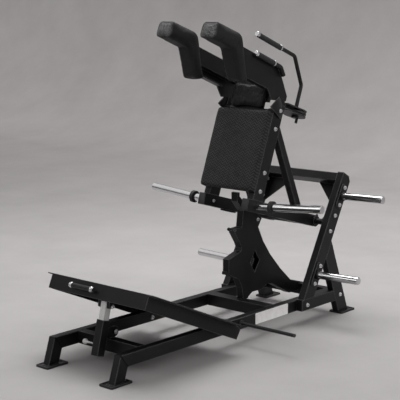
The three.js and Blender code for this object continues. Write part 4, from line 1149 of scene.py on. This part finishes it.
# Swing handles. A long bent tube stands in a stack of round plates behind each yoke and turns
# in them to push the stops away. Its grip is rubber, with a chromed ring and end cap.
long_ring = (0.0032, 0.0120)
long_cap_from = -0.2316


def long_grip_mask(tree, place):
    """1 at the chromed parts of a swing handle."""
    return ring_and_cap(tree, place, long_ring, long_cap_from)


coat(painted_and_chromed("handle_finish", long_grip_mask), *on_both_sides("swing_handle"))
coat(grip_rubber, *on_both_sides("handle_grip"))
coat(paint, *on_both_sides("handle_bracket"))


# Footplate. A sloped tray of folded sheet with a gritted top and ribs underneath. A short grip
# bar stands off its front face between chromed buttons.
tray_slope = math.radians(23.4)
tray_foot = Vector((0, -0.203, 0.127))
tray_upward = (math.sin(tray_slope), math.cos(tray_slope))
tray_frame = leaning_frame(tray_foot, (-math.cos(tray_slope), math.sin(tray_slope)), tray_upward)
grit_scale = 420
grit_facing = 0.95
grip_bar = (-0.178, -0.018)
grip_end_radius = 0.0175
grip_end_long = 0.015
grip_end_round = 0.004
grip_line = (0.8316, 0.015)
grip_ends = {"right": -0.180, "left": -0.016}


def gritted_coat():
    """Powder coat with sharp grit on the faces that look up from the tray."""
    material = powder_coat("gritted_coat", roughness=0.55)
    tree, shader, place = taken_up(material)
    facing = tree.nodes.new("ShaderNodeNewGeometry").outputs["Normal"]
    level = vectors(tree, "DOT_PRODUCT", facing, (0, *tray_upward))
    top = worked(tree, "GREATER_THAN", level, grit_facing)
    height = worked(tree, "MULTIPLY", pores(tree, place, grit_scale), top)
    relief = bumped(tree, height, strength=0.8, distance=0.001, under=wired(shader, "Normal"))
    drive(shader, "Normal", relief)
    return material


def tray_grip_mask(tree, place):
    """1 at the two ends of the grip bar."""
    along = axis_of(tree, place, "X")
    return worked(tree, "MAXIMUM", worked(tree, "GREATER_THAN", along, grip_bar[1]),
                  worked(tree, "LESS_THAN", along, grip_bar[0]))


coat(gritted_coat(), "tray_deck")
coat(paint, "tray_frame", *on_both_sides("tray_pivot"))
coat(painted_and_chromed("tray_grip_finish", tray_grip_mask), "tray_grip")
for end, x in grip_ends.items():
    middle = tray_frame @ Vector((x, *grip_line))
    turned_end(f"grip_end_{end}", middle, grip_end_radius, grip_end_long, grip_end_round,
               chrome, "footplate")


# Post. An outer tube hinged to the front cross-member takes a bright inner tube with locking
# holes, held by a sprung pull pin with a ball knob. The inner tube is pinned to the tray.
post_lean = math.radians(14.7)
post_foot = Vector((0, -0.939, 0.082))
post_frame = leaning_frame(post_foot, (math.cos(post_lean), -math.sin(post_lean)),
                           (math.sin(post_lean), math.cos(post_lean)))
steel_dark = (0.36, 0.355, 0.35, 1)
steel_pale = (0.60, 0.595, 0.59, 1)
zinc_tube_dark = (0.62, 0.62, 0.6138, 1)
zinc_tube_pale = (0.86, 0.86, 0.8514, 1)
knob_from = -0.0765
knob_dark = (0.56, 0.56, 0.55, 1)
knob_pale = (0.66, 0.66, 0.65, 1)
lug_bolt_face = 0.0545
post_top_along = 0.290
hinge_face = 0.020
hinge_bolt = (-0.808, 0.200)


def brushed_steel(name, stretch, metallic=1.0, dark=steel_dark, pale=steel_pale):
    """Drawn steel with grain that is stretched along the piece."""
    material, tree, shader, place = start_material(
        name, (0.5, 0.5, 0.51, 1), roughness=0.32, metallic=metallic)
    mapping = tree.nodes.new("ShaderNodeMapping")
    mapping.inputs["Scale"].default_value = stretch
    tree.links.new(place, mapping.inputs["Vector"])
    grain = noise(tree, mapping.outputs["Vector"], scale=60, detail=8)
    drive(shader, "Base Color", two_tones(tree, grain, 0.3, 0.75, dark, pale))
    drive(shader, "Roughness", spread(tree, grain, 0.24, 0.42))
    return material


def pin_finish():
    """Turned steel stem and a pale satin ball knob."""
    material = brushed_steel("pin_finish", stretch=(2, 2, 2))
    tree, shader, place = taken_up(material)
    stem = worked(tree, "GREATER_THAN", axis_of(tree, place, "X"), knob_from)
    scuffs = noise(tree, place, scale=90, detail=6)
    pale = two_tones(tree, scuffs, 0.3, 0.8, knob_dark, knob_pale)
    colour = blend(tree, stem, pale, wired(shader, "Base Color"))
    drive(shader, "Base Color", colour)
    drive(shader, "Metallic", stem)
    return material


coat(paint, "post_outer", "post_lug")
bright_zinc = brushed_steel("bright_zinc", stretch=(6, 6, 0.3), metallic=0.35,
                            dark=zinc_tube_dark, pale=zinc_tube_pale)
coat(bright_zinc, "post_inner")
coat(pin_finish(), "pull_pin")
for side_name in both:
    side = side_of(side_name)
    spots = [post_frame @ Vector((side * lug_bolt_face, 0, post_top_along))]
    bolt_group(f"post_top_bolt_{side_name}", spots, (side, 0, 0), "footplate", size=0.85)
    spots = [(side * hinge_face, *hinge_bolt)]
    bolt_group(f"post_hinge_bolt_{side_name}", spots, (side, 0, 0), "frame", size=1.05)
